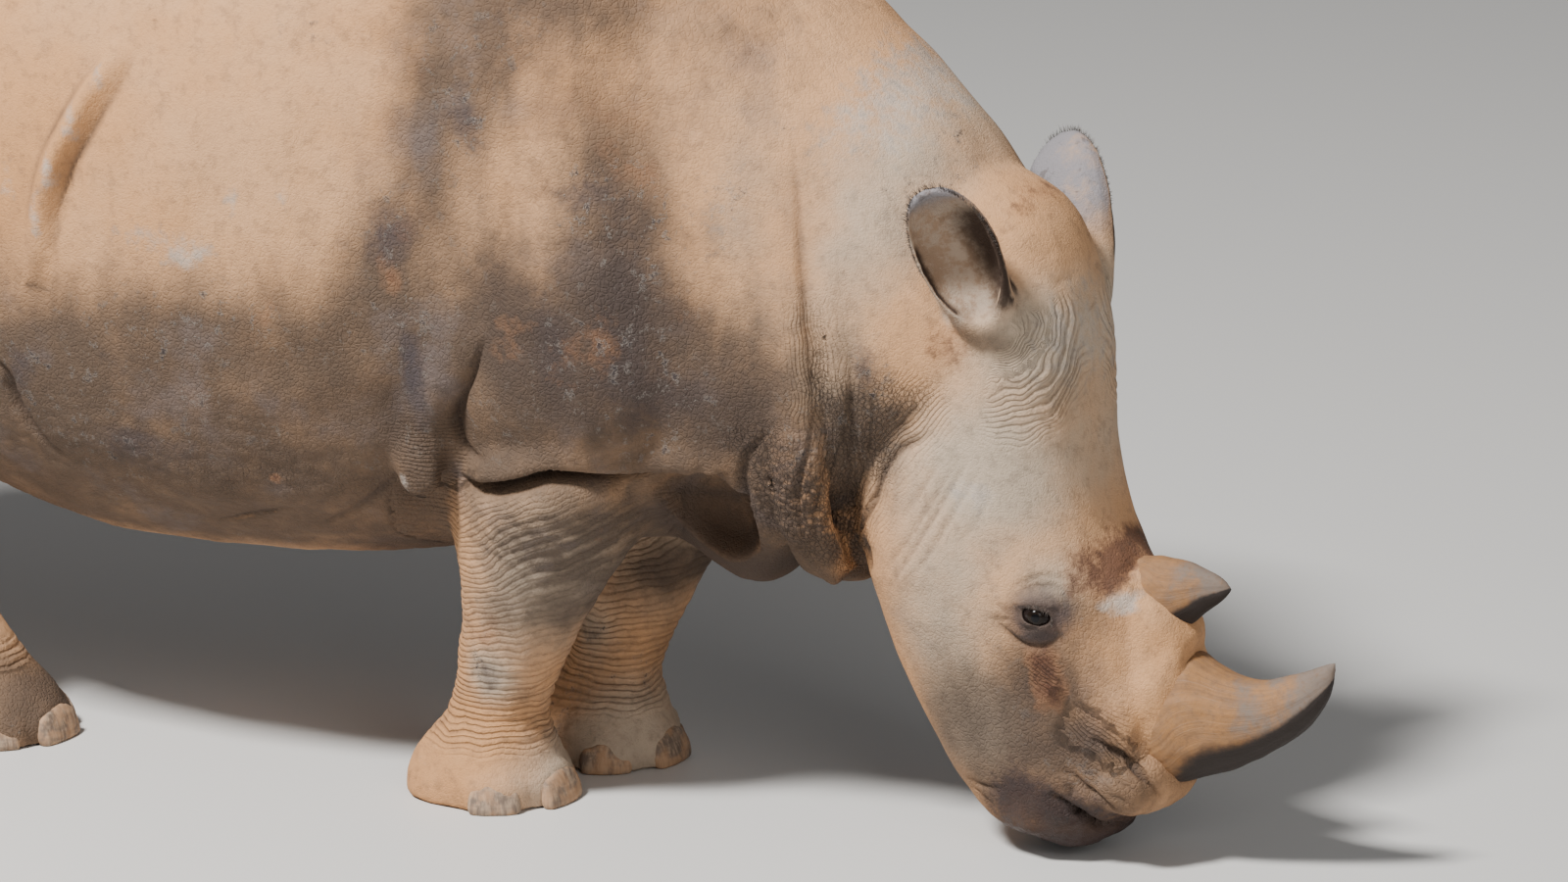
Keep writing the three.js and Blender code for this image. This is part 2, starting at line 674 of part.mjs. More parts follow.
const ground = halfSpace(vec(0, 0, 0), vec(0, 0, -1));
const aboveAnkle = halfSpace(vec(0, 0, ANKLE + GAP), vec(0, 0, 1));
const belowAnkle = halfSpace(vec(0, 0, ANKLE), vec(0, 0, -1));
for (const [name, { side, foot, sole, shape }] of Object.entries(LEGS)) {
  const leg = without(shape(0), [hideGrown, ground]);
  addNode(name, leg.intersect(aboveAnkle), SKIN);
  addNode(`${name}_foot`, leg.intersect(belowAnkle), SKIN);
  const grown = shape(GAP);
  for (const [toe, degrees] of Object.entries(TOES))
    addNode(`${name}_nail_${toe}`, without(nail(foot, sole, side * degrees), [grown, ground]), NAIL, 0.7);
}

const tail = tailBody().subtract(hideGrown);
const belowTuft = halfSpace(vec(0, 0, TUFT_TOP), vec(0, 0, -1));
const aboveTuft = halfSpace(vec(0, 0, TUFT_TOP + GAP), vec(0, 0, 1));
addNode("tail", tail.intersect(aboveTuft), SKIN);
addNode("tail_tuft", joined([tail, ...tuftLocks()]).intersect(belowTuft), 0x3a3029, 0.8);

// The origin is under the middle of the animal, on the ground.
const bounds = new THREE.Box3().setFromObject(inner);
const centre = bounds.getCenter(vec(0, 0, 0));
inner.position.set(-centre.x, -centre.y, -bounds.min.z);

export default root;
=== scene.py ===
import itertools
import math
from collections import namedtuple

import bpy
import numpy as np
from mathutils import Matrix, Vector
from mathutils.bvhtree import BVHTree


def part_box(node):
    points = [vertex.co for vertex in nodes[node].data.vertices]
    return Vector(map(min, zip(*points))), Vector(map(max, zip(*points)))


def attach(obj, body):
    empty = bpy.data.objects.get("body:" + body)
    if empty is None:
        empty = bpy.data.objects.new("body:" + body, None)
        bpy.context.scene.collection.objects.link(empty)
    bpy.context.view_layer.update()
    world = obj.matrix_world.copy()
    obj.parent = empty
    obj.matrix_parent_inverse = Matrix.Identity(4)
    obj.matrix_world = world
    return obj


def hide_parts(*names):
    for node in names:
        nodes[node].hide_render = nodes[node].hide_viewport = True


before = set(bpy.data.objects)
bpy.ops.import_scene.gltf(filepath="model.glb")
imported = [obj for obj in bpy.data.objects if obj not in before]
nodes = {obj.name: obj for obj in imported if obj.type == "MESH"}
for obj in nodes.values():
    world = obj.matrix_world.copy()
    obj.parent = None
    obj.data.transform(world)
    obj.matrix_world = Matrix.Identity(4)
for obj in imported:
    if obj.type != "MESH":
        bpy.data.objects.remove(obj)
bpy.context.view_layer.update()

scene = bpy.context.scene

# ---- Camera -----------------------------------------------------------------------------------------
IMAGE_WIDTH = 1600
IMAGE_HEIGHT = 900
SENSOR = 36.0
LENS = 160.875
CAMERA_AT = Vector((5.6705, -9.2700, 3.1930))
CAMERA_AZIMUTH = math.radians(28)
CAMERA_ELEVATION = math.radians(14)
LOOK = Vector((
    -math.sin(CAMERA_AZIMUTH) * math.cos(CAMERA_ELEVATION),
    math.cos(CAMERA_AZIMUTH) * math.cos(CAMERA_ELEVATION),
    -math.sin(CAMERA_ELEVATION),
))


def make_camera():
    bpy.ops.object.camera_add(location=CAMERA_AT)
    camera = bpy.context.object
    camera.rotation_euler = LOOK.to_track_quat("-Z", "Y").to_euler()
    camera.data.sensor_width = SENSOR
    camera.data.lens = LENS
    camera.data.clip_end = 200
    scene.camera = camera


make_camera()
VIEW_RIGHT = LOOK.cross(Vector((0, 0, 1))).normalized()
VIEW_UP = VIEW_RIGHT.cross(LOOK)
PIXELS_PER_UNIT = IMAGE_WIDTH * LENS / SENSOR


def sight_line(across, down):
    """The direction from the camera through a place in the 1600 by 900 frame."""
    right = (across - IMAGE_WIDTH / 2) / PIXELS_PER_UNIT
    up = (IMAGE_HEIGHT / 2 - down) / PIXELS_PER_UNIT
    return (LOOK + VIEW_RIGHT * right + VIEW_UP * up).normalized()


# ---- Mesh helpers -----------------------------------------------------------------------------------
def activate(piece):
    bpy.ops.object.select_all(action="DESELECT")
    piece.select_set(True)
    bpy.context.view_layer.objects.active = piece


def apply_modifier(piece, kind, **settings):
    activate(piece)
    modifier = piece.modifiers.new(kind.title(), kind)
    for key, value in settings.items():
        setattr(modifier, key, value)
    bpy.ops.object.modifier_apply(modifier=modifier.name)


def merged_copy(names, label):
    """A new piece with the forms of some CAD nodes, each merged into closed bodies."""
    bpy.ops.object.select_all(action="DESELECT")
    copies = []
    for name in names:
        copy = bpy.data.objects.new(label, nodes[name].data.copy())
        copy.data.materials.clear()
        scene.collection.objects.link(copy)
        copy.select_set(True)
        copies.append(copy)
    bpy.context.view_layer.objects.active = copies[0]
    if len(copies) > 1:
        bpy.ops.object.join()
    piece = bpy.context.object
    piece.name = label
    piece.data.name = label
    bpy.ops.object.mode_set(mode="EDIT")
    bpy.ops.mesh.select_all(action="SELECT")
    bpy.ops.mesh.remove_doubles(threshold=1e-6)
    bpy.ops.object.mode_set(mode="OBJECT")
    return piece


def remesh(piece, size):
    activate(piece)
    piece.data.remesh_voxel_size = size
    bpy.ops.object.voxel_remesh()


def points_of(piece):
    flat = np.empty(len(piece.data.vertices) * 3, np.float32)
    piece.data.vertices.foreach_get("co", flat)
    return flat.reshape(-1, 3).astype(float)


def move_to(piece, points):
    piece.data.vertices.foreach_set("co", points.astype(np.float32).ravel())
    piece.data.update()


def normals_of(piece):
    flat = np.empty(len(piece.data.vertices) * 3, np.float32)
    piece.data.vertex_normals.foreach_get("vector", flat)
    return flat.reshape(-1, 3).astype(float)


def tree_of(piece):
    """A piece made ready for finding the places on it that are nearest or in line."""
    return BVHTree.FromObject(piece, bpy.context.evaluated_depsgraph_get())


def unit(rows):
    """The same ways, each with a length of 1."""
    return rows / np.linalg.norm(rows, axis=1, keepdims=True)


WEIGHT_LEVELS = 20


def weigh(piece, weights):
    """Gives a piece a vertex group with a weight for each place, in whole levels, and returns its name."""
    group = piece.vertex_groups.new(name="weights")
    levels = np.round(np.clip(weights, 0, 1) * WEIGHT_LEVELS).astype(int)
    for level in range(1, WEIGHT_LEVELS + 1):
        found = np.flatnonzero(levels == level)
        if len(found):
            group.add(found.tolist(), level / WEIGHT_LEVELS, "REPLACE")
    return group.name


def soften(piece, passes, weights):
    """Rounds off facets, by more where the weights are higher."""
    group = weigh(piece, weights)
    apply_modifier(piece, "SMOOTH", factor=0.5, iterations=passes, vertex_group=group)
    piece.vertex_groups.clear()


def keep_field(piece, name, values):
    """Stores one number, or three, for each place of a mesh, for its material to read."""
    kind = "FLOAT" if values.ndim == 1 else "FLOAT_VECTOR"
    field = piece.data.attributes.new(name, kind, "POINT")
    field.data.foreach_set("value" if values.ndim == 1 else "vector", values.astype(np.float32).ravel())


def finish(piece, material, replaced):
    """Shades a piece smooth, gives it its material and makes it ride with the body."""
    activate(piece)
    bpy.ops.object.shade_smooth()
    piece.data.materials.clear()
    piece.data.materials.append(material)
    if replaced:
        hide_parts(*replaced)
    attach(piece, "root")


# ---- Fields over space ------------------------------------------------------------------------------
def ramp(values, start, end):
    share = np.clip((values - start) / (end - start), 0, 1)
    return share * share * (3 - 2 * share)


def near(points, centre, reach):
    """1 at a place, falling softly to 0 over about twice the reach, which may differ by axis."""
    return np.exp(-np.sum(((points - np.array(centre)) / np.array(reach)) ** 2, axis=-1))


def lattice(cells, seed):
    """A repeatable number from -1 to 1 for each cell, given by three whole numbers."""
    mixed = cells[:, 0] * 73856093 ^ cells[:, 1] * 19349663 ^ cells[:, 2] * 83492791 ^ seed * 40503
    mixed = (mixed ^ mixed >> 13) * 1274126177
    return ((mixed ^ mixed >> 16) & 0xFFFFFF) / 0x800000 - 1


def noise(points, size, seed):
    """Soft unevenness from -1 to 1, in lumps about one size across."""
    scaled = points / size
    cell = np.floor(scaled).astype(np.int64)
    part = scaled - cell
    part = part * part * (3 - 2 * part)
    total = np.zeros(len(points))
    for corner in itertools.product((0, 1), repeat=3):
        share = np.prod(np.where(corner, part, 1 - part), axis=1)
        total += share * lattice(cell + np.array(corner), seed)
    return total


def beside(points, path):
    """How far each point is from a path, how far along the path it is (0 to 1), and the way out to it."""
    best = np.full(len(points), np.inf)
    along = np.zeros(len(points))
    away = np.zeros_like(points)
    steps = np.diff(path, axis=0)
    for i, (start, step) in enumerate(zip(path, steps)):
        share = np.clip((points - start) @ step / max(step @ step, 1e-12), 0, 1)
        out = points - start - share[:, None] * step
        gap = np.linalg.norm(out, axis=1)
        closer = gap < best
        best[closer] = gap[closer]
        along[closer] = (i + share[closer]) / len(steps)
        away[closer] = out[closer]
    return best, along, away


def curve_through(corners, steps=6):
    """A smooth path through a few corners (Catmull-Rom)."""
    corners = np.array(corners, float)
    padded = np.vstack([2 * corners[0] - corners[1], corners, 2 * corners[-1] - corners[-2]])
    spots = []
    for a, b, c, d in zip(padded, padded[1:], padded[2:], padded[3:]):
        for t in np.arange(steps) / steps:
            bend = (2 * a - 5 * b + 4 * c - d) * t**2 + (3 * b - 3 * c + d - a) * t**3
            spots.append(b + 0.5 * ((c - a) * t + bend))
    return np.array(spots + [corners[-1]])


# ---- Head frame: +X from the crest to the lips, +Z out of the forehead -------------------------------
HEAD_PITCH = Matrix.Rotation(math.radians(75), 3, "Y")
EYE_IN_HEAD = Vector((0.6541, 0.150, -0.040))


def middle_of(name):
    low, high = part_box(name)
    return (low + high) / 2


between_eyes = (middle_of("eye_left") + middle_of("eye_right")) / 2
HEAD_AT = between_eyes - HEAD_PITCH @ Vector((EYE_IN_HEAD.x, 0, EYE_IN_HEAD.z))
TURN_TO_HEAD = np.array(HEAD_PITCH)


def in_head(points):
    return (points - np.array(HEAD_AT)) @ TURN_TO_HEAD


def from_head(points):
    return np.array(points, float) @ TURN_TO_HEAD.T + np.array(HEAD_AT)


def both_sides(points, centre, reach):
    """Near a place of the head or near the same place on its other side."""
    across, side, out = centre
    return np.maximum(near(points, centre, reach), near(points, (across, -side, out), reach))


# ---- The lie of the ears and legs -------------------------------------------------------------------
SIDES = {"right": -1, "left": 1}
EAR_LENGTH = 0.25
EAR_ROOT = (0.2153, 0.1706, 0.0012)
EarTurn = namedtuple("EarTurn", "lean forward spread")
EAR_TURNS = {-1: EarTurn(-0.03, 0.25, 0.88), 1: EarTurn(-0.15, 0.04, 1.0)}
LEGS = ("foreleg_right", "foreleg_left", "hindleg_right", "hindleg_left")


def ear_frame(side):
    """The root of an ear and its three axes: along it, across it and out of its cup."""
    turn = EAR_TURNS[side]
    along = np.array((-0.94, side * 0.28, turn.lean))
    along /= np.linalg.norm(along)
    out = np.array((-0.06, side, turn.forward))
    out -= along * (along @ out)
    out /= np.linalg.norm(out)
    return np.array(EAR_ROOT) * (1, side, 1), np.array((along, np.cross(out, along), out))


def in_ear(head_points, side):
    root, axes = ear_frame(side)
    return (head_points - root) @ axes.T


def from_ear(ear_points, side):
    root, axes = ear_frame(side)
    return from_head(np.array(ear_points) @ axes + root)


class Leg:
    """The middle line of a leg, read from its solids, and places round it."""

    SLICE = 0.03
    RING = 60
    WHOLE = 0.60  # the share of a leg's height below where it runs into the body

    def __init__(self, name):
        spots = np.vstack([points_of(nodes[name]), points_of(nodes[name + "_foot"])])
        self.name = name
        self.levels = np.arange(self.SLICE, self.WHOLE * spots[:, 2].max(), self.SLICE)
        self.middles = []
        self.sizes = []
        for level in self.levels:
            ring = spots[np.argsort(np.abs(spots[:, 2] - level))[:self.RING], :2]
            low, high = ring.min(axis=0), ring.max(axis=0)
            self.middles.append((low + high) / 2)
            self.sizes.append((high - low) / 2)
        self.middles = np.array(self.middles)
        self.sizes = np.array(self.sizes)

    def around(self, points):
        """Places from the middle line: ahead, the leg's half length there, and the share of its ring."""
        height = points[:, 2]
        offset = [points[:, i] - np.interp(height, self.levels, self.middles[:, i]) for i in (0, 1)]
        size = [np.interp(height, self.levels, self.sizes[:, i]) for i in (0, 1)]
        share = np.hypot(offset[0] / size[0], offset[1] / size[1])
        return offset[0], size[0], share


# ---- Relief -----------------------------------------------------------------------------------------
def wavering(points, size, amount, seed):
    """The same places pushed about softly, so that lines laid by them aren't straight."""
    push = np.stack([noise(points, size, seed + k) for k in range(3)], axis=1)
    return points + amount * push


class Relief:
    """Folds and wrinkles for a hide: how far each place rises, and how much painted shade it gets for lying
    in a crease.
    """

    def __init__(self, piece):
        self.piece = piece
        self.points = points_of(piece)
        self.normals = normals_of(piece)
        self.head = in_head(self.points)
        self.height = np.zeros(len(self.points))
        self.crease = np.zeros(len(self.points))
        self.row = np.zeros(len(self.points))
        self.rowed = np.zeros(len(self.points))
        self.shift = np.zeros_like(self.points)
        self.tree = tree_of(piece)

    def at(self, across, down):
        """The place on the hide behind a place in the frame."""
        spot = self.tree.ray_cast(CAMERA_AT, sight_line(across, down))[0]
        return None if spot is None else np.array(spot)

    def seen(self, corners):
        """The path on the hide behind a path in the frame."""
        spots = [self.at(*place) for place in curve_through(corners)]
        return np.array([spot for spot in spots if spot is not None])

    def both(self, corners, middle=0.0):
        """The path behind a path in the frame, and the same path on the animal's other side."""
        path = self.seen(corners)
        flipped = path * (1, -1, 1) + (0, 2 * middle, 0)
        return path, np.array([self.tree.find_nearest(Vector(spot))[0] for spot in flipped])

    def close_to(self, path, reach):
        low = path.min(axis=0) - reach
        high = path.max(axis=0) + reach
        return np.flatnonzero(np.all((self.points > low) & (self.points < high), axis=1))

    # Painted shade: how dark the hide is painted in creases, gaps and wrinkle valleys.
    def darken(self, places, amounts):
        self.crease[places] = np.maximum(self.crease[places], amounts)

    def groove(self, path, width, depth, lip=0.0):
        """A crease along a path in a soft valley, which narrows and fades towards both ends."""
        close = self.close_to(path, 3 * width)
        gap, along, _ = beside(wavering(self.points[close], 3 * width, 0.16 * width, 3), path)
        fade = np.sin(np.pi * along) ** 0.75
        ratio = gap / ((0.4 + 0.6 * fade) * width / 2)
        valley = 0.7 * np.exp(-ratio**1.2) + 0.3 * np.exp(-((gap / (1.1 * width)) ** 2))
        rise = lip * ratio**2 * np.exp(1 - ratio**2)
        self.height[close] += fade * (rise - depth * valley)
        # painted shade along the bottom of the crease
        self.darken(close, fade * np.exp(-((ratio / 0.6) ** 1.5)) * min(1, depth / 0.010))

    def roll(self, path, width, rise):
        """A rounded ridge along a path that sinks away at both ends."""
        close = self.close_to(path, 2 * width)
        gap, along, _ = beside(wavering(self.points[close], 2 * width, 0.1 * width, 9), path)
        fade = np.sin(np.pi * along) ** 0.6
        self.height[close] += fade * rise * np.exp(-np.abs(gap / (width / 2)) ** 2.4)

    def lay(self, folds, rolls, middle=0.0):
        """Grooves and ridges along paths in the frame, on both sides of the animal."""
        for fold in folds:
            for line in self.both(fold.path, middle):
                self.groove(line, fold.width, fold.depth, fold.lip)
        for ridge in rolls:
            for line in self.both(ridge.path, middle):
                self.roll(line, ridge.width, ridge.rise)

    def ledge(self, path, over, width, rise, depth, sag):
        """A roll of skin along a path, overhanging a gap on the side away from where `over` points."""
        close = self.close_to(path, 3 * width)
        gap, along, away = beside(self.points[close], path)
        signed = gap * np.sign(away @ np.array(over))
        fade = ramp(along, -0.02, 0.2) * ramp(1 - along, -0.06, 0.06)
        above = ramp(signed, -0.003, 0.004)
        bulge = rise * above * np.exp(-((signed - 0.6 * width) / (0.8 * width)) ** 2)
        drop = depth * (1 - above) * np.exp(-((signed / (0.85 * width)) ** 2))
        self.height[close] += fade * (bulge - drop)
        droop = fade * above * np.exp(-((signed / width) ** 2))
        self.shift[close] -= sag * droop[:, None] * np.array(over)
        # painted shade in the gap under the overhang
        self.darken(close, fade * (1 - above) * np.exp(-((signed / (0.7 * width)) ** 2)))

    def pull(self, spot, middle=0.0):
        """Draws the hide round a place some way along, on both sides of the animal."""
        centre = self.at(*spot.at)
        for side in (1, -1):
            flip = np.array((1, side, 1))
            flipped = centre * flip + (0, (1 - side) * middle, 0)
            self.shift += near(self.points, flipped, spot.reach)[:, None] * np.array(spot.way) * flip

    def collar(self, kind, reach, rise):
        """Banks the hide up round the root of each horn or nail of a kind."""
        for name in [name for name in nodes if kind in name]:
            grown = tree_of(nodes[name])
            close = self.close_to(np.array(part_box(name)), 2 * reach)
            gap = np.array([grown.find_nearest(Vector(spot))[3] for spot in self.points[close]])
            uneven = 1 + 0.4 * noise(self.points[close], 0.03, 41)
            self.height[close] += rise * uneven * np.exp(-((gap / reach) ** 2))

    def rows(self, mask, place, spacing, depth, seed, wander=0.5):
        """Wrinkles side by side, one wherever a coordinate over the hide passes a multiple of the spacing."""
        close = np.flatnonzero(mask > 0.02)
        spots = self.points[close]
        phase = place[close] / spacing + wander * noise(spots, 4 * spacing, seed)
        phase += 0.6 * wander * noise(spots, 1.7 * spacing, seed + 1)
        gap = np.abs(phase - np.round(phase))
        strength = mask[close] * (0.62 + 0.38 * noise(spots, 2.6 * spacing, seed + 2))
        valley = np.exp(-((gap / 0.19) ** 1.5))
        self.height[close] += strength * depth * (0.32 - valley)
        # painted shade in the valley of each wrinkle
        self.darken(close, strength * valley * min(1, depth / 0.009))
        stronger = mask[close] > self.rowed[close]
        self.row[close[stronger]] = phase[stronger]
        self.rowed[close[stronger]] = mask[close[stronger]]

    def bundle(self, path, reach, spacing, depth, seed):
        """A sheaf of fine wrinkles that run along a path."""
        close = self.close_to(path, 2.2 * reach)
        gap, along, away = beside(self.points[close], path)
        way = path[-1] - path[0]
        out = self.normals[close].mean(axis=0)
        signed = gap * np.sign(away @ np.cross(way, out))
        mask = np.zeros(len(self.points))
        place = np.zeros(len(self.points))
        mask[close] = np.sin(np.pi * along) ** 0.6 * np.exp(-((gap / reach) ** 2))
        place[close] = signed
        self.rows(mask, place, spacing, depth, seed, wander=0.7)

    def net(self, mask, size, depth, seed, stretch=(1, 1, 1)):
        """Creases round rounded plates of skin (the edges between Voronoi cells)."""
        close = np.flatnonzero(mask > 0.02)
        spots = wavering(self.points[close], 2 * size, 0.35 * size, seed)
        scaled = spots / (size * np.array(stretch))
        home = np.floor(scaled).astype(np.int64)
        first = np.full(len(close), 9.0)
        second = np.full(len(close), 9.0)
        for step in itertools.product((-1, 0, 1), repeat=3):
            cell = home + np.array(step)
            centre = cell + 0.5 + 0.42 * np.stack([lattice(cell, seed + k) for k in range(3)], axis=1)
            gap = np.linalg.norm(scaled - centre, axis=1)
            second = np.minimum(second, np.maximum(first, gap))
            first = np.minimum(first, gap)
        valley = np.exp(-(((second - first) / 0.2) ** 1.4))
        self.height[close] += mask[close] * depth * (0.3 - valley)
        # painted shade in the creases round the plates
        self.darken(close, mask[close] * valley * min(1, depth / 0.006))

    def apply(self):
        """Moves the hide to its new places, none of them below the sole."""
        moved = self.points + self.normals * self.height[:, None] + self.shift
        moved[:, 2] = np.maximum(moved[:, 2], np.minimum(self.points[:, 2], 0.004))
        move_to(self.piece, moved)


# ---- Folds, as paths across and down the frame, with widths and depths in metres ----------------------
Fold = namedtuple("Fold", "path width depth lip", defaults=(0.0,))
Roll = namedtuple("Roll", "path width rise")
Sheaf = namedtuple("Sheaf", "path reach spacing depth")
Pull = namedtuple("Pull", "at reach way")

NECK_FOLDS = (
    Fold(((806, 130), (812, 190), (817, 262), (822, 311), (827, 364), (831, 418)), 0.020, 0.006, 0.002),
    Fold(((822, 250), (829, 338), (837, 385), (840, 423), (843, 462)), 0.012, 0.004, 0.001),
    Fold(((832, 410), (826, 455), (813, 495), (815, 525), (822, 568)), 0.016, 0.008, 0.002),
    Fold(((846, 440), (841, 492), (831, 528), (835, 566)), 0.013, 0.006, 0.001),
    Fold(((792, 432), (766, 463), (757, 489), (762, 515), (771, 540), (779, 572)), 0.026, 0.012, 0.004),
    Fold(((862, 320), (867, 380), (869, 430), (865, 490), (860, 555)), 0.018, 0.005, 0.002),
    Fold(
        ((955, 440), (938, 450), (917, 461), (904, 478), (894, 505), (879, 538), (868, 576)),
        0.015,
        0.010,
        0.002,
    ),
    Fold(((884, 552), (888, 590), (894, 624)), 0.024, 0.010, 0.002),
)
NECK_SHEAVES = (
    Sheaf(((822, 300), (832, 380), (838, 450), (832, 540)), 0.045, 0.014, 0.0026),
    Sheaf(((870, 400), (878, 460), (876, 520), (868, 570)), 0.055, 0.015, 0.0026),
    Sheaf(((960, 395), (925, 425), (900, 455), (880, 500)), 0.050, 0.015, 0.0018),
)
JAW_FOLDS = (
    Fold(((989, 464), (966, 506), (938, 552), (904, 604)), 0.008, 0.0056),
    Fold(((980, 462), (957, 503), (930, 545), (896, 594)), 0.006, 0.0044),
    Fold(((1000, 476), (978, 515), (952, 558), (918, 606)), 0.006, 0.0038),
    Fold(((962, 468), (941, 500), (915, 538)), 0.006, 0.0036),
    Fold(((1012, 500), (998, 528), (976, 560)), 0.006, 0.0024),
)
NECK_ROLLS = (
    Roll(((838, 250), (845, 330), (852, 420), (853, 500), (851, 592)), 0.036, 0.007),
    Roll(((800, 440), (790, 490), (795, 530), (806, 572)), 0.070, 0.009),
    Roll(((900, 470), (884, 520), (874, 570)), 0.026, 0.004),
)
ELBOW_FOLDS = (
    Fold(
        ((497, 344), (488, 364), (478, 390), (469, 410), (464, 430), (467, 448), (479, 462), (506, 473)),
        0.020,
        0.026,
        0.004,
    ),
    Fold(((470, 400), (464, 420), (465, 438), (470, 452)), 0.026, 0.014, 0.0),
    Fold(((392, 370), (402, 410), (402, 444), (394, 480)), 0.070, 0.007, 0.001),
)
ELBOW_ROLL = Roll(((476, 330), (462, 372), (446, 416), (430, 456), (420, 488)), 0.085, 0.010)
ARM_LEDGE = (
    (466, 486), (485, 489), (510, 488), (535, 483), (560, 476),
    (607, 477), (650, 477), (690, 477), (716, 480),
)
LEDGE_SHAPE = {"width": 0.026, "rise": 0.011, "depth": 0.050, "sag": 0.009}
FLANK_CURVE = (
    (124, 40), (112, 66), (96, 88), (80, 112), (68, 132),
    (56, 158), (48, 180), (40, 215), (37, 250), (36, 296),
)
FLANK_ROLL = Roll(FLANK_CURVE, 0.040, 0.021)
FLANK_FOLDS = (
    Fold(((138, 58), (116, 96), (96, 128), (78, 160), (64, 195), (56, 230), (53, 278)), 0.022, 0.010),
    Fold(((104, 56), (84, 84), (64, 116), (46, 150), (34, 185), (26, 235)), 0.024, 0.007),
)
FLANK_SWELLS = (
    Roll(((210, 70), (190, 130), (170, 200), (160, 260)), 0.100, 0.007),
    Roll(((300, 60), (285, 130), (270, 210), (262, 290)), 0.110, 0.006),
    Roll(((600, 60), (590, 160), (580, 260), (560, 350)), 0.170, 0.010),
    Roll(((60, 420), (150, 470), (260, 500), (380, 500)), 0.120, 0.010),
)
BELLY_FOLDS = (
    Fold(((-60, 330), (0, 376), (12, 400), (24, 424), (48, 452), (84, 474)), 0.036, 0.020, 0.006),
    Fold(((214, 532), (262, 524), (304, 512)), 0.022, 0.008, 0.003),
    Fold(((322, 538), (366, 516), (412, 488)), 0.024, 0.010, 0.003),
    Fold(((250, 338), (256, 352), (260, 366)), 0.010, 0.004, 0.001),
)
BODY_PULLS = (
    Pull((850, 580), (0.022, 0.03, 0.03), (0, 0, -0.024)),
    Pull((700, 540), (0.09, 0.12, 0.09), (-0.01, 0.04, 0.01)),
    Pull((424, 512), (0.07, 0.12, 0.035), (0, 0, 0.022)),
)
COLLARS = (("horn_rear", 0.036, 0.018), ("horn_front", 0.030, 0.012), ("nail", 0.012, 0.005))
MOUTH = ((1070, 808), (1082, 818), (1095, 829), (1111, 842), (1124, 846), (1140, 842), (1160, 841))
LIP_CREASE = ((1078, 786), (1095, 791), (1103, 800), (1116, 810), (1131, 823), (1142, 830), (1158, 832))
NOSTRIL = ((1112, 754), (1124, 761), (1150, 776), (1163, 789), (1178, 806), (1187, 814))
UNDER_LID = ((1012, 630), (1026, 643), (1035, 652), (1048, 659), (1061, 660), (1074, 655), (1088, 645))
FACE_FOLDS = (
    Fold(MOUTH, 0.018, 0.030, 0.005),
    Fold(LIP_CREASE, 0.013, 0.013, 0.003),
    Fold(NOSTRIL, 0.016, 0.018, 0.005),
    *JAW_FOLDS,
    Fold(((984, 792), (1004, 803), (1028, 806)), 0.014, 0.007, 0.002),
    Fold(((990, 800), (1004, 815), (1018, 826)), 0.012, 0.006, 0.001),
    Fold(((1128, 812), (1142, 816), (1158, 824)), 0.010, 0.006, 0.001),
    Fold(((1136, 796), (1150, 802), (1164, 812)), 0.010, 0.005, 0.001),
    Fold(((1086, 800), (1092, 808), (1090, 818)), 0.012, 0.008, 0.001),
    Fold(UNDER_LID, 0.012, 0.009, 0.003),
    Fold(((1034, 634), (1048, 643), (1066, 642)), 0.010, 0.004, 0.001),
    Fold(((1028, 602), (1044, 592), (1069, 587), (1096, 594)), 0.012, 0.005, 0.002),
    Fold(((1034, 608), (1048, 599), (1074, 597), (1092, 606)), 0.010, 0.005, 0.001),
    Fold(((1008, 608), (1022, 620), (1036, 626)), 0.009, 0.003, 0.001),
    Fold(((1008, 630), (1022, 633), (1038, 632)), 0.009, 0.003, 0.001),
    Fold(((1052, 254), (1066, 261), (1080, 251)), 0.008, 0.0018),
    Fold(((1072, 292), (1084, 286), (1099, 284)), 0.008, 0.0022),
    Fold(((1096, 352), (1110, 346), (1124, 348)), 0.008, 0.0012),
)
FACE_SHEAVES = (
    Sheaf(((1084, 728), (1110, 748), (1134, 766), (1152, 786)), 0.030, 0.013, 0.0020),
    Sheaf(((1048, 676), (1066, 690), (1084, 700)), 0.030, 0.013, 0.0014),
)
LOWER_LIP = Roll(((1036, 824), (1052, 842), (1076, 854), (1102, 860), (1128, 855)), 0.036, 0.007)
LID_ROLLS = (
    Roll(((1036, 617), (1048, 610), (1064, 609), (1080, 618)), 0.017, 0.006),
    Roll(((1036, 638), (1048, 647), (1064, 648), (1080, 640)), 0.019, 0.005),
)
LID_PULLS = (
    Pull((1060, 612), (0.030, 0.03, 0.013), (-0.001, -0.005, -0.010)),
    Pull((1056, 641), (0.026, 0.03, 0.011), (0, -0.004, 0.006)),
)

# ---- Skin -------------------------------------------------------------------------------------------
APART = ("eye", "horn", "tail_tuft")
SKIN_NODES = [name for name in nodes if not name.startswith(APART) and "nail" not in name]
VOXEL = 0.005
FINE_PASSES = 60
BROAD_PASSES = 320
SKIN_TRIANGLES = 192000
PLAIN_COST = 2e-5  # how strongly the face and legs keep their faces when the hide is thinned


def firmness(points):
    """How much each place of the remeshed solids is rounded off: less at the lids and lips, little at the
    ears and the tail.
    """
    head = in_head(points)
    weights = np.ones(len(points))
    weights -= 0.55 * ramp(head[:, 0], 0.35, 0.6)
    weights -= 0.34 * both_sides(head, EYE_IN_HEAD, 0.05)
    weights -= 0.34 * ramp(head[:, 0], 0.8, 0.87)
    for side in SIDES.values():
        ear = in_ear(head, side)
        inside = ramp(ear[:, 0], 0.0, 0.05) * ramp(0.12 - np.hypot(ear[:, 1], ear[:, 2]), 0, 0.02)
        weights = np.minimum(weights, 1 - 0.93 * inside)
    low, high = (np.array(corner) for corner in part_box("tail"))
    on_tail = np.prod(ramp(np.minimum(points - low, high - points), -0.03, 0.0), axis=1)
    weights = np.minimum(weights, 1 - 0.9 * on_tail)
    return np.clip(weights, 0.07, 1)


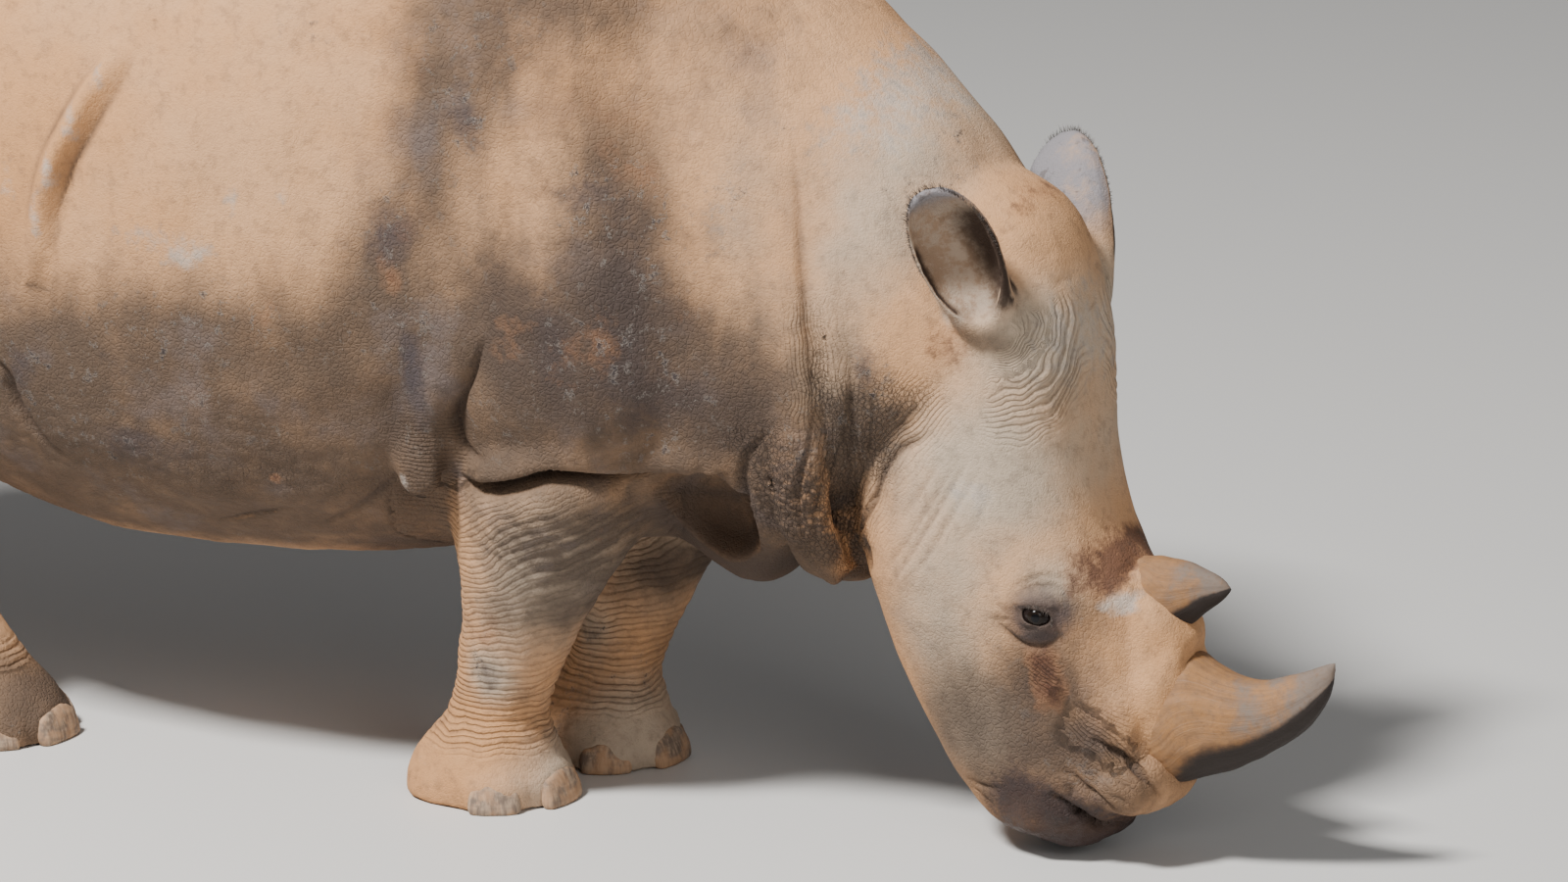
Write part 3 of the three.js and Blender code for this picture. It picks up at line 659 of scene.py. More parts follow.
FOREARM = (0.36, 0.25, 0.42)
FOREARM_REACH = (0.22, 0.20, 0.075)


def broadness(points):
    """Where the broad forms are rounded off once more: over the trunk and round the top of each foreleg."""
    trunk = ramp(0.95 - points[:, 0], 0, 0.25) * ramp(points[:, 2], 0.62, 0.85)
    trunk *= ramp(points[:, 0], -1.5, -1.35)
    arms = [near(points * (1, side, 1), FOREARM, FOREARM_REACH) for side in (1, -1)]
    return np.maximum(trunk, ramp(np.maximum(*arms), 0.1, 0.5))


def fold_the_skin(relief):
    """The large folds and swells, on both sides of the animal."""
    relief.lay(
        (*NECK_FOLDS, *ELBOW_FOLDS, *FLANK_FOLDS, *BELLY_FOLDS),
        (*NECK_ROLLS, ELBOW_ROLL, FLANK_ROLL, *FLANK_SWELLS),
    )
    for line in relief.both(ARM_LEDGE):
        relief.ledge(line, (0, 0, 1), **LEDGE_SHAPE)
    for spot in BODY_PULLS:
        relief.pull(spot)
    for kind, reach, rise in COLLARS:
        relief.collar(kind, reach, rise)
    waver_ears(relief)
    trunk = ramp(0.92 - relief.points[:, 0], 0, 0.2)
    relief.height += 0.006 * trunk * noise(relief.points * (1, 1, 0.6), 0.17, 31)
    relief.height += 0.0022 * noise(relief.points, 0.06, 33)


def waver_ears(relief):
    """Lets the rims of the ears waver."""
    for side in SIDES.values():
        ear = in_ear(relief.head, side)
        on_ear = ramp(ear[:, 0], 0.05, 0.10) * ramp(0.12 - np.hypot(ear[:, 1], ear[:, 2]), 0, 0.02)
        waver = 0.0035 * on_ear * noise(ear * (1, 0.5, 0.5), 0.05, 45)
        relief.shift += waver[:, None] * (ear_frame(side)[1][2] @ TURN_TO_HEAD.T)


def wrinkle_face(relief):
    """The folds and lids of the face, and the sheaves of fine wrinkles on the face and neck."""
    relief.lay(FACE_FOLDS, (*LID_ROLLS, LOWER_LIP), HEAD_AT.y)
    for spot in LID_PULLS:
        relief.pull(spot, HEAD_AT.y)
    for seed, sheaf in enumerate((*NECK_SHEAVES, *FACE_SHEAVES)):
        for line in relief.both(sheaf.path):
            relief.bundle(line, sheaf.reach, sheaf.spacing, sheaf.depth, 100 + 3 * seed)


LEG_SPACING = 0.019


def wrinkle_leg(relief, leg, seed):
    """Slanting wrinkles up a leg that turn to close rings at the ankle."""
    ahead, size, share = leg.around(relief.points)
    height = relief.points[:, 2]
    top = 0.58 if leg.name.startswith("fore") else 0.78
    whole = 1.45 + 0.5 * ramp(height, 0.34, 0.42)
    mask = ramp(whole - share, 0, 0.3) * ramp(height, 0.07, 0.11) * ramp(top - height, 0, 0.12)
    slope = 0.42 * ramp(height, 0.15, 0.50) + 0.04
    place = height - slope * np.maximum(ahead + 0.7 * size, 0)
    ankle = ramp(0.27 - height, 0, 0.1)
    front = 0.4 + 0.6 * ramp(ahead / size, 0.2, 0.9)
    relief.rows(mask * (0.7 + 0.3 * ankle), place, LEG_SPACING, 0.0027, seed, wander=0.4)
    relief.rows(mask * ankle * front, place, LEG_SPACING, 0.0034, seed, wander=0.4)
    crossing = height + 0.45 * (ahead + 0.4 * size)
    relief.rows(0.4 * mask * (1 - ankle), crossing, 0.031, 0.0022, seed + 3)


def wrinkle_elbow(relief):
    """Fine level wrinkles over the lower half of the fold of skin behind each elbow."""
    for side in (1, -1):
        fold = relief.at(434, 470) * (1, side, 1)
        mask = near(relief.points, fold, (0.045, 0.12, 0.075))
        relief.rows(mask, relief.points[:, 2], spacing=0.013, depth=0.0016, seed=150)


def wrinkle_skin(relief):
    """Wrinkles of the legs, the roots of the ears and the nose."""
    for seed, leg in enumerate(legs):
        wrinkle_leg(relief, leg, 20 + 7 * seed)
    wrinkle_elbow(relief)

    for side in SIDES.values():
        root = np.array(EAR_ROOT) * (1, side, 1) + (0.0, -0.01 * side, 0.01)
        offset = relief.head - root
        gap = np.linalg.norm(offset * (1, 0.7, 1.1), axis=1)
        turn = np.arctan2(offset[:, 0], offset[:, 2])
        fan = ramp(turn, -0.5, 0.1) * ramp(2.1 - turn, 0, 0.5)
        outside = ramp(side * relief.head[:, 1], 0.0, 0.07)
        coarse = fan * outside * ramp(gap, 0.06, 0.09) * ramp(0.21 - gap, 0, 0.08)
        fine = fan * outside * ramp(gap, 0.025, 0.04) * ramp(0.09 - gap, 0, 0.03)
        relief.rows(coarse, gap, spacing=0.018, depth=0.0042, seed=60, wander=1.0)
        relief.rows(0.8 * fine, gap, spacing=0.010, depth=0.0012, seed=64, wander=0.8)

    nose = both_sides(relief.head, (0.87, 0.12, 0.0), (0.06, 0.06, 0.05))
    over_nose = 0.8 * relief.head[:, 2] - 0.6 * relief.head[:, 0]
    relief.rows(0.6 * nose, over_nose, spacing=0.013, depth=0.0018, seed=70)


def crease_plates(relief):
    """Small plates of skin between creases, on the brisket and the belly."""
    lobe = relief.at(795, 510)
    for side in (1, -1):
        mask = near(relief.points, lobe * (1, side, 1), (0.10, 0.16, 0.11))
        relief.net(mask, size=0.016, depth=0.0034, seed=80, stretch=(1.3, 1.3, 0.75))
    height = relief.points[:, 2]
    belly = ramp(0.80 - height, 0, 0.25) * ramp(0.75 - np.abs(relief.points[:, 0] + 0.4), 0, 0.3)
    belly *= ramp(height, 0.3, 0.36)
    relief.net(0.7 * belly, size=0.030, depth=0.0022, seed=84, stretch=(1.4, 1.4, 0.8))


skin = merged_copy(SKIN_NODES, "skin")
remesh(skin, VOXEL)
legs = [Leg(name) for name in LEGS]
soften(skin, FINE_PASSES, firmness(points_of(skin)))
soften(skin, BROAD_PASSES, broadness(points_of(skin)))
folded = Relief(skin)
fold_the_skin(folded)
folded.apply()
wrinkled = Relief(skin)
wrinkle_face(wrinkled)
wrinkle_skin(wrinkled)
crease_plates(wrinkled)
wrinkled.apply()


def thin_out(piece, triangles):
    """Collapses a dense hide to fewer triangles, more of them left on the face, legs and neck."""
    points = points_of(piece)
    head = in_head(points)
    plain = np.full(len(points), 0.95)
    plain -= 0.45 * ramp(0.62 - points[:, 2], 0, 0.1)
    plain -= 0.5 * ramp(points[:, 0], 0.85, 1.0) * ramp(0.5 - head[:, 0], 0, 0.2)
    plain -= 0.85 * ramp(head[:, 0], 0.1, 0.3) * ramp(points[:, 0], 0.95, 1.05)
    group = weigh(piece, np.clip(plain, 0.05, 1))
    ratio = triangles / (2 * len(piece.data.polygons))
    apply_modifier(piece, "DECIMATE", ratio=ratio, vertex_group=group, vertex_group_factor=PLAIN_COST)
    piece.vertex_groups.clear()


# painted shade of the creases and wrinkles, kept for the hide's material
keep_field(skin, "crease", np.maximum(folded.crease, wrinkled.crease))
keep_field(skin, "row", wrinkled.row)
keep_field(skin, "rowed", wrinkled.rowed)
thin_out(skin, SKIN_TRIANGLES)


# ---- Tones of the hide ------------------------------------------------------------------------------
# Each soft patch is given by its place across and down the frame, its half width and half height there,
# and its strength.
PIXELS_AHEAD = 574
PIXELS_UP = 631
TONES = {
    # umber patches together with painted shade: cast shadow over the shoulder and the lower flank, and shade
    # under the chest
    "umber_and_shade": (
        (60, 410, 190, 90, 0.95), (300, 415, 170, 110, 1.0), (190, 345, 220, 66, 0.5),
        (20, 720, 60, 60, 1.0), (392, 300, 46, 110, 0.95), (440, 150, 40, 100, 0.85),
        (482, 90, 56, 90, 0.9), (560, 5, 130, 50, 0.85), (500, 310, 54, 90, 0.7),
        (620, 240, 54, 170, 1.0), (640, 400, 130, 80, 1.0), (750, 420, 76, 96, 1.0),
        (550, 420, 110, 66, 0.95), (790, 530, 60, 60, 0.55), (540, 640, 50, 44, 0.3),
        (1060, 700, 44, 34, 1.0), (735, 60, 44, 60, 0.4), (885, 440, 34, 70, 0.7),
        (1066, 694, 30, 44, 1.0), (1040, 745, 60, 44, 0.95), (1095, 768, 50, 38, 1.0),
        (1130, 812, 44, 34, 0.8), (985, 735, 50, 60, 0.85), (1010, 800, 34, 34, 0.8),
        (1085, 828, 24, 18, 0.9), (1110, 620, 24, 40, 0.5), (740, 600, 90, 50, 1.0),
        (765, 130, 60, 110, 0.3), (965, 650, 60, 90, 0.25), (1130, 800, 40, 26, 0.6),
    ),
    # near-black painted shade: the hollow in front of each foreleg, under the chest, the elbow fold and the
    # lower lip, round the muzzle and below the eye, and cast shadow across the shoulder
    "painted_shade": (
        (715, 530, 44, 40, 1.0), (742, 562, 62, 38, 1.0), (690, 580, 40, 34, 0.8),
        (770, 592, 70, 30, 0.8), (420, 556, 60, 34, 0.8), (636, 290, 56, 120, 0.85),
        (520, 310, 56, 100, 0.75), (600, 420, 110, 60, 0.6), (750, 410, 60, 66, 0.65),
        (520, 30, 66, 60, 0.6), (884, 450, 26, 60, 0.2), (1080, 858, 70, 18, 0.8),
        (1060, 700, 40, 30, 0.75), (1086, 764, 50, 32, 0.55),
    ),
    "crackle": (
        (838, 380, 12, 70, 0.7), (882, 440, 28, 56, 0.9), (912, 405, 40, 30, 0.6),
        (795, 505, 46, 64, 0.8), (846, 510, 22, 70, 0.7), (872, 530, 20, 50, 0.9),
        (775, 455, 34, 30, 0.6), (425, 450, 30, 60, 0.5), (300, 490, 160, 40, 0.5),
    ),
    # mud patches; those on the shoulder are partly painted cast shadow
    "mud_and_shade": (
        (478, 125, 26, 36, 0.8), (392, 240, 30, 50, 0.6), (422, 385, 14, 66, 0.9),
        (602, 196, 30, 26, 0.7), (634, 330, 24, 110, 1.0), (562, 350, 26, 70, 0.7),
        (668, 400, 46, 46, 0.8), (884, 375, 20, 34, 0.8), (150, 455, 80, 30, 0.6), (22, 378, 18, 40, 0.7),
        (110, 365, 30, 15, 0.5), (502, 690, 18, 20, 0.6), (1085, 625, 14, 26, 0.5),
    ),
    # pale patches, with a painted highlight along the ridge of the flank and on the forehead
    "pale": (
        (196, 262, 26, 20, 0.8), (238, 203, 12, 24, 0.7), (290, 197, 10, 20, 0.6),
        (150, 245, 60, 20, 0.5), (104, 76, 10, 24, 0.6), (76, 122, 10, 26, 0.7), (54, 172, 9, 28, 0.8),
        (40, 226, 8, 34, 0.7), (6, 185, 14, 24, 0.6), (735, 200, 34, 50, 0.4), (985, 505, 34, 26, 0.6),
        (410, 492, 10, 14, 0.7), (1150, 612, 14, 12, 0.9), (900, 110, 50, 70, 0.6),
        (1085, 340, 30, 70, 0.4),
    ),
    "grey": (
        (1000, 480, 80, 70, 1.0), (960, 620, 60, 100, 0.7), (1040, 350, 44, 60, 0.8),
        (900, 200, 60, 110, 0.7), (850, 380, 40, 110, 0.5), (1075, 600, 30, 30, 0.6),
        (1000, 740, 50, 60, 0.6), (502, 690, 24, 30, 0.8), (565, 590, 90, 110, 0.9),
        (630, 770, 50, 60, 0.8), (760, 230, 40, 160, 0.4),
    ),
    "rust": (
        (400, 286, 14, 14, 0.6), (655, 182, 26, 22, 0.4), (272, 325, 12, 22, 0.4),
        (1062, 672, 16, 22, 0.75), (1070, 705, 18, 26, 0.7), (1154, 562, 22, 24, 0.9),
        (1136, 590, 12, 14, 0.5), (960, 352, 26, 24, 0.5), (284, 488, 6, 6, 0.9),
        (608, 362, 22, 34, 0.35), (520, 330, 26, 30, 0.3), (496, 651, 14, 10, 0.5), (474, 582, 5, 5, 1.0),
        (640, 120, 26, 50, 0.3), (1048, 200, 16, 24, 0.35),
    ),
    # the dark lips, partly painted shadow under the lower lip and on the chin
    "lip": (
        (1066, 832, 54, 34, 1.0), (1090, 856, 60, 22, 1.0), (1130, 852, 26, 12, 1.0),
        (1042, 808, 24, 22, 0.7),
    ),
}


def toned(points, tones):
    """How strongly a tone shows, on both sides of the animal."""
    clear = np.ones(len(points))
    for across, down, wide, high, strength in tones:
        centre = folded.at(across, down)
        if centre is None:
            continue
        reach = (wide / PIXELS_AHEAD, 0.3, high / PIXELS_UP)
        for side in (1, -1):
            clear *= 1 - strength * near(points, centre * (1, side, 1), reach)
    return 1 - clear


EAR_SKIN = 0.014  # how far the hide of an ear may lie from its solid


def ear_tones(points, normals):
    """Where the hide is in the cup of an ear, where shade is painted in the cup and behind it, and at its
    back or tip.
    """
    head = in_head(points)
    turned = normals @ TURN_TO_HEAD
    tones = np.zeros((len(points), 3))
    for name, side in SIDES.items():
        ear = in_ear(head, side)
        facing = turned @ ear_frame(side)[1][2]
        solid = tree_of(nodes["ear_" + name])
        on_ear = ramp(ear[:, 0], 0.012, 0.04) * ramp(EAR_LENGTH + 0.03 - ear[:, 0], 0, 0.01)
        on_ear *= ramp(0.10 - np.abs(ear[:, 1]), 0, 0.01) * ramp(0.075 - np.abs(ear[:, 2]), 0, 0.01)
        close = np.flatnonzero(on_ear)
        gap = np.array([solid.find_nearest(Vector(spot))[3] for spot in points[close]])
        on_ear[close] *= ramp(EAR_SKIN - gap, 0, 0.006)
        cup = on_ear * ramp(facing, -0.1, 0.4) * ramp(ear[:, 2] + 0.052, -0.002, 0.006)
        # painted shade along the front of the cup, under its rolled rim
        front = ramp(side * ear[:, 1] + 0.15 * ear[:, 0], -0.015, 0.07) * ramp(0.235 - ear[:, 0], 0, 0.08)
        back = on_ear * (1 - ramp(facing, -0.3, 0.2)) * ramp(ear[:, 0], 0.04, 0.12)
        tip = on_ear * ramp(ear[:, 0], 0.185, 0.235)
        # painted shadow on the back of the ear behind its lower rim
        behind = on_ear * (1 - ramp(facing, 0.1, 0.5)) * ramp(0.19 - ear[:, 0], 0, 0.05)
        behind *= ramp(-side * ear[:, 1], -0.01, 0.02)
        root = cup * ramp(0.085 - ear[:, 0], 0, 0.06)
        cup *= 1 - tip
        back = np.maximum(back, tip)
        # painted shade in the front of the cup, a little at its root, and behind the lower rim
        dark = np.maximum(np.maximum(cup * front, 0.4 * root), behind)
        tones = np.maximum(tones, np.stack([cup, dark, back], axis=1))
    return tones


def lay_tones(piece):
    points = points_of(piece)
    head = in_head(points)
    for name, tones in TONES.items():
        keep_field(piece, name, toned(points, tones))
    keep_field(piece, "lid", both_sides(head, EYE_IN_HEAD, (0.054, 0.06, 0.050)))
    normals = normals_of(piece)
    for name, values in zip(("cup", "cup_shade", "ear_back"), ear_tones(points, normals).T):
        keep_field(piece, name, values)
    height = points[:, 2]
    # Painted shade: darker towards the bottom of the trunk, and darkest where the hide faces downwards.
    low = ramp(1.02 - height, 0, 0.5) * ramp(0.85 - points[:, 0], 0, 0.25)
    underside_shade = ramp(-normals[:, 2], 0.05, 0.65) * ramp(height, 0.28, 0.42)
    keep_field(piece, "low", low * (0.25 + 0.75 * ramp(height, 0.30, 0.62)) + 1.8 * underside_shade)


lay_tones(skin)


# ---- Materials --------------------------------------------------------------------------------------
class Term:
    """A shader socket that can stand in sums and products; each one adds a Math node."""

    def __init__(self, paint, socket):
        self.paint = paint
        self.socket = socket

    def maths(self, operation, first, second):
        return self.paint.node("ShaderNodeMath", {"operation": operation}, {0: first, 1: second})

    def __add__(self, other):
        return self.maths("ADD", self, other)

    def __sub__(self, other):
        return self.maths("SUBTRACT", self, other)

    def __rsub__(self, other):
        return self.maths("SUBTRACT", other, self)

    def __mul__(self, other):
        return self.maths("MULTIPLY", self, other)

    def less_whole(self):
        """What is left after the whole number."""
        return self.maths("FRACT", self, 0)

    def size(self):
        return self.maths("ABSOLUTE", self, 0)

    def or_more(self, other):
        return self.maths("MAXIMUM", self, other)

    def or_less(self, other):
        return self.maths("MINIMUM", self, other)

    __radd__ = __add__
    __rmul__ = __mul__


class Paint:
    """One material and the nodes that colour it."""

    def __init__(self, name, **constants):
        self.material = bpy.data.materials.new(name)
        self.material.use_nodes = True
        self.tree = self.material.node_tree
        self.shader = self.tree.nodes["Principled BSDF"]
        for key, value in constants.items():
            self.shader.inputs[key.replace("_", " ")].default_value = value
        self.place = self.node("ShaderNodeTexCoord", {}, {}, "Object")

    def node(self, kind, settings, inputs, out=0):
        """A node with its settings made first and then its sockets set or linked."""
        node = self.tree.nodes.new(kind)
        for key, value in settings.items():
            setattr(node, key, value)
        for key, value in inputs.items():
            if isinstance(value, Term):
                self.tree.links.new(value.socket, node.inputs[key])
            else:
                node.inputs[key].default_value = value
        return Term(self, node.outputs[out])

    def field(self, name, out="Fac"):
        return self.node("ShaderNodeAttribute", {"attribute_name": name}, {}, out)

    def noise(self, size, detail=4, roughness=0.55, place=None, out="Fac"):
        inputs = {"Vector": place or self.place, "Scale": 1 / size, "Detail": detail, "Roughness": roughness}
        return self.node("ShaderNodeTexNoise", {}, inputs, out)

    def cracks(self, size, place=None):
        inputs = {"Vector": place or self.place, "Scale": 1 / size}
        return self.node("ShaderNodeTexVoronoi", {"feature": "DISTANCE_TO_EDGE"}, inputs, "Distance")

    def warped(self, size, amount):
        """Object coordinates pushed about by noise."""
        push = self.noise(size, 2, 0.5, out="Color")
        inputs = {0: push, 1: (amount, amount, amount), 2: self.place}
        return self.node("ShaderNodeVectorMath", {"operation": "MULTIPLY_ADD"}, inputs)

    def stretched(self, vector, factors):
        return self.node("ShaderNodeVectorMath", {"operation": "MULTIPLY"}, {0: vector, 1: factors})

    def step(self, value, start, end):
        """0 below the start and 1 above the end, or the other way round, with a soft change."""
        inputs = {"Value": value, "From Min": start, "From Max": end}
        return self.node("ShaderNodeMapRange", {"interpolation_type": "SMOOTHSTEP"}, inputs)

    def mix(self, share, first, second):
        """From one colour to another."""
        return self.node("ShaderNodeMix", {"data_type": "RGBA"}, {0: share, 6: first, 7: second}, 2)

    def finish(self, colour, roughness, height=None, distance=0.001):
        self.tree.links.new(colour.socket, self.shader.inputs["Base Color"])
        self.tree.links.new(roughness.socket, self.shader.inputs["Roughness"])
        if height:
            bump = self.node("ShaderNodeBump", {}, {"Distance": distance, "Height": height})
            self.tree.links.new(bump.socket, self.shader.inputs["Normal"])
        return self.material


SANDY = (0.52, 0.290, 0.145, 1)
OCHRE = (0.50, 0.250, 0.105, 1)
BONE_GREY = (0.40, 0.325, 0.245, 1)
UMBER = (0.068, 0.048, 0.035, 1)
BROWN = (0.25, 0.150, 0.088, 1)
MUD_AND_SHADE = (0.052, 0.043, 0.047, 1)
SLATE = (0.17, 0.150, 0.160, 1)
FLAKE = (0.042, 0.034, 0.034, 1)
PALE = (0.50, 0.44, 0.385, 1)
SHADE = (0.052, 0.036, 0.028, 1)
RUST = (0.080, 0.033, 0.020, 1)
ORANGE = (0.34, 0.160, 0.072, 1)
LID = (0.052, 0.040, 0.041, 1)
LIP = (0.027, 0.017, 0.017, 1)
CUP = (0.32, 0.250, 0.190, 1)
CUP_SHADE = (0.040, 0.024, 0.016, 1)
EAR_GREY = (0.20, 0.192, 0.205, 1)
FINE_ROWS = 2  # fine wrinkles for each wrinkle of the relief


def hide_material():
    paint = Paint("hide", Specular_IOR_Level=0.25)
    crease, row, rowed, low = (paint.field(name) for name in ("crease", "row", "rowed", "low"))
    umber_and_shade, mud_and_shade, pale, grey = (paint.field(name) for name in ("umber_and_shade", "mud_and_shade", "pale", "grey"))
    rust, lip, lid = (paint.field(name) for name in ("rust", "lip", "lid"))
    painted_shade, crackle = (paint.field(name) for name in ("painted_shade", "crackle"))
    cup, cup_shade, ear_back = (paint.field(name) for name in ("cup", "cup_shade", "ear_back"))
    drift = paint.noise(0.55, 3, 0.5)
    blotch = paint.noise(0.11, 6, 0.64)
    streak = paint.noise(0.055, 5, 0.62, place=paint.stretched(paint.place, (1, 1, 0.28)))
    mottle = paint.noise(0.022, 5, 0.68)
    grain = paint.noise(0.0075, 4, 0.65)
    warped = paint.warped(0.02, 0.010)
    leather = paint.step(paint.cracks(0.0085, warped), 0.22, 0.0)
    pores = paint.step(paint.cracks(0.0042, warped), 0.2, 0.0)
    patchy = paint.noise(0.26, 4, 0.6)
    plates = paint.cracks(0.0078, paint.stretched(warped, (1, 1, 0.75)))
    crack = paint.step(plates, 0.15, 0.0) * paint.step(crackle + 1.2 * (blotch - 0.5), 0.1, 0.9)

    gap = ((FINE_ROWS * row + 0.9 * paint.noise(0.04, 3, 0.6)).less_whole() - 0.5).size()
    wrinkle = paint.step(gap, 0.34, 0.0) * rowed

    spotted = paint.step(paint.noise(0.19, 3, 0.5) + 0.35 * mud_and_shade + 0.15 * umber_and_shade, 0.56, 0.78)
    flaking = paint.noise(0.021, 6, 0.75)
    flake = paint.step(flaking, 0.615, 0.64) * spotted
    rim = paint.step(flaking, 0.565, 0.60) * spotted * (1 - flake)
    chips = paint.step(paint.noise(0.010, 3, 0.6), 0.70, 0.73) * spotted

    lumps = blotch - 0.5
    specks = mottle - 0.5
    # umber patches together with the painted shade of the lower trunk and the undersides
    shaded = (umber_and_shade + 0.5 * low).or_less(1.0)
    umber_shade_breakup = shaded + 0.7 * lumps + 0.4 * (streak - 0.5) + 0.9 * (patchy - 0.5)
    layers = (
        (0.45 * paint.step(streak + 0.6 * umber_and_shade, 0.55, 1.05), BROWN),
        (0.9 * paint.step(grey + 0.7 * blotch, 0.45, 1.25), BONE_GREY),
        # umber patches and painted shade
        (0.92 * paint.step(umber_shade_breakup, 0.06, 1.1), UMBER),
        (0.30 * paint.step(paint.noise(0.16, 5, 0.6), 0.52, 0.72) * shaded, SLATE),
        # mud patches, partly painted shadow on the shoulder
        (0.85 * paint.step(mud_and_shade + 1.3 * lumps + 0.6 * specks, 0.25, 0.95), MUD_AND_SHADE),
        # near-black painted shade
        (0.9 * paint.step(painted_shade + 0.8 * lumps + 0.3 * specks, 0.10, 1.0), SHADE),
        # pale patches and painted highlight
        (0.7 * paint.step(pale + 1.3 * specks + 0.8 * lumps, 0.35, 0.95), PALE),
        (0.40 * paint.step(rust + 1.4 * lumps + 0.8 * specks, 0.20, 0.60), ORANGE),
        (0.85 * paint.step(rust + 1.0 * lumps + 1.1 * specks, 0.42, 0.90), RUST),
        (0.26 * paint.step(mottle, 0.48, 0.68), UMBER),
        (0.14 * paint.step(grain, 0.5, 0.7), SHADE),
        (0.22 * rim, PALE),
        # painted shade in the cracks of the crackled hide
        (0.42 * crack, SHADE),
        ((0.85 * flake).or_more(0.6 * chips), FLAKE),
        (0.95 * ear_back * paint.step(blotch, 0.2, 0.5), EAR_GREY),
        (0.5 * ear_back * paint.step(mottle, 0.56, 0.66), UMBER),
        (0.92 * cup, CUP),
        (0.7 * cup * paint.step(mottle + 0.6 * lumps, 0.40, 0.60), BROWN),
        # painted shade in the cups of the ears and behind their lower rims
        (paint.step(cup_shade + 0.5 * specks + 0.4 * lumps, 0.12, 0.9), CUP_SHADE),
        (0.88 * paint.step(lid + 0.5 * lumps, 0.16, 0.72), LID),
        # painted shade right round the opening of each eye
        (0.85 * paint.step(lid, 0.60, 0.88), SHADE),
        # dark lips, partly painted shadow
        (0.92 * paint.step(lip + 0.9 * lumps + 0.7 * specks, 0.15, 0.85), LIP),
        # painted shade in creases and wrinkle valleys
        ((0.88 * crease).or_more(0.24 * wrinkle), SHADE),
    )
    colour = paint.mix(paint.step(drift + 0.4 * lumps, 0.36, 0.66), SANDY, OCHRE)
    for share, tone in layers:
        colour = paint.mix(share, colour, tone)

    wet = paint.step(lip, 0.35, 0.8) * paint.step(mottle, 0.35, 0.6)
    roughness = 0.74 + 0.22 * blotch - 0.42 * wet - 0.2 * paint.step(lid, 0.4, 0.9)
    height = 0.40 * grain + 0.32 * mottle - (0.14 + 0.34 * shaded) * leather - 0.14 * pores
    height = height - 1.5 * wrinkle - 1.3 * crack + 0.6 * flake + 0.3 * rim
    return paint.finish(colour, roughness, height, 0.0018)


finish(skin, hide_material(), SKIN_NODES)


# ---- Eyes -------------------------------------------------------------------------------------------
EYE_OUT = (0.05, 1.0, 0.3)
CORNEA_RISE = 0.0016


def make_eye(name, side):
    """A ball with a slightly raised cornea that looks out from between the lids."""
    low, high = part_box(name)
    radius = (high - low).z / 2
    middle = (low + high) / 2
    look = HEAD_PITCH @ Vector(EYE_OUT[i] * (side if i == 1 else 1) for i in range(3)).normalized()
    bpy.ops.object.select_all(action="DESELECT")
    bpy.ops.mesh.primitive_uv_sphere_add(segments=48, ring_count=32, radius=radius)
    ball = bpy.context.object
    ball.name = name + "_ball"
    points = points_of(ball)
    points = points @ np.array(look.to_track_quat("Z", "Y").to_matrix()).T
    facing = points @ np.array(look) / radius
    points += np.array(look) * (CORNEA_RISE * ramp(facing, 0.80, 0.9))[:, None]
    move_to(ball, points + np.array(middle))
    keep_field(ball, "facing", facing)
    finish(ball, eye_material, [name])


EYE_WHITE = (0.014, 0.009, 0.008, 1)
IRIS = (0.010, 0.006, 0.004, 1)
PUPIL = (0.003, 0.003, 0.004, 1)


def make_eye_material():
    paint = Paint("eye_gloss", Specular_IOR_Level=0.18, Coat_Weight=0.05, Coat_Roughness=0.08)
    facing = paint.field("facing")
    streaks = paint.noise(0.0016, 3, 0.6)
    colour = paint.mix(paint.step(facing + 0.02 * streaks, 0.80, 0.84), EYE_WHITE, IRIS)
    colour = paint.mix(paint.step(facing, 0.955, 0.965), colour, PUPIL)
    return paint.finish(colour, 0.18 + 0.08 * streaks)


eye_material = make_eye_material()
for eye_side, sign in SIDES.items():
    make_eye("eye_" + eye_side, sign)


# ---- Horns ------------------------------------------------------------------------------------------
HORN_VOXEL = 0.003
HORN_SLICES = 24
HORN_TAPER = 0.12  # how much narrower the base is made, where the hide banks up round it


def make_horn(name):
    """A horn with fibres that run from its frayed base to its tip."""
    horn = merged_copy([name], name + "_fibre")
    remesh(horn, HORN_VOXEL)
    soften(horn, 30, np.ones(len(horn.data.vertices)))
    points = points_of(horn)
    head = in_head(points)
    rise = head[:, 2]
    low, high = rise.min(), rise.max()
    levels = np.linspace(low, high, HORN_SLICES)
    slices = [head[np.abs(rise - level) < (high - low) / HORN_SLICES] for level in levels]
    middles = np.array([(part.min(axis=0) + part.max(axis=0)) / 2 for part in slices])
    across = head[:, 0] - np.interp(rise, levels, middles[:, 0])
    side = head[:, 1] - np.interp(rise, levels, middles[:, 1])
    round_it = np.arctan2(side, across)
    share = (rise - low) / (high - low)
    grain = np.stack([np.cos(round_it), np.sin(round_it), 0.5 * share], axis=1)
    ridge = noise(grain, 0.09, 5) + 0.6 * noise(grain, 0.045, 6) + 0.8 * noise(grain, 0.3, 7)
    lumps = noise(points, 0.04, 8) + 0.5 * noise(points, 0.018, 12)
    depth = 0.0007 * (1 - 0.6 * ramp(share, 0.3, 0.8))
    inwards = -HORN_TAPER * (1 - ramp(share, 0, 0.4))[:, None] * np.stack([across, side, 0 * side], axis=1)
    moved = points + inwards @ TURN_TO_HEAD.T
    move_to(horn, moved + normals_of(horn) * (depth * ridge + 0.0016 * lumps)[:, None])
    keep_field(horn, "grain", grain)
    keep_field(horn, "share", share)
    keep_field(horn, "outer", ramp(np.cos(round_it), 0.0, 0.95))
    finish(horn, horn_material, [name])


HORN_TAN = (0.25, 0.130, 0.057, 1)
HORN_OCHRE = (0.28, 0.137, 0.052, 1)
HORN_BASE = (0.30, 0.165, 0.078, 1)
HORN_BROWN = (0.16, 0.086, 0.045, 1)
HORN_BLACK = (0.024, 0.017, 0.014, 1)
HORN_GREY = (0.150, 0.128, 0.112, 1)


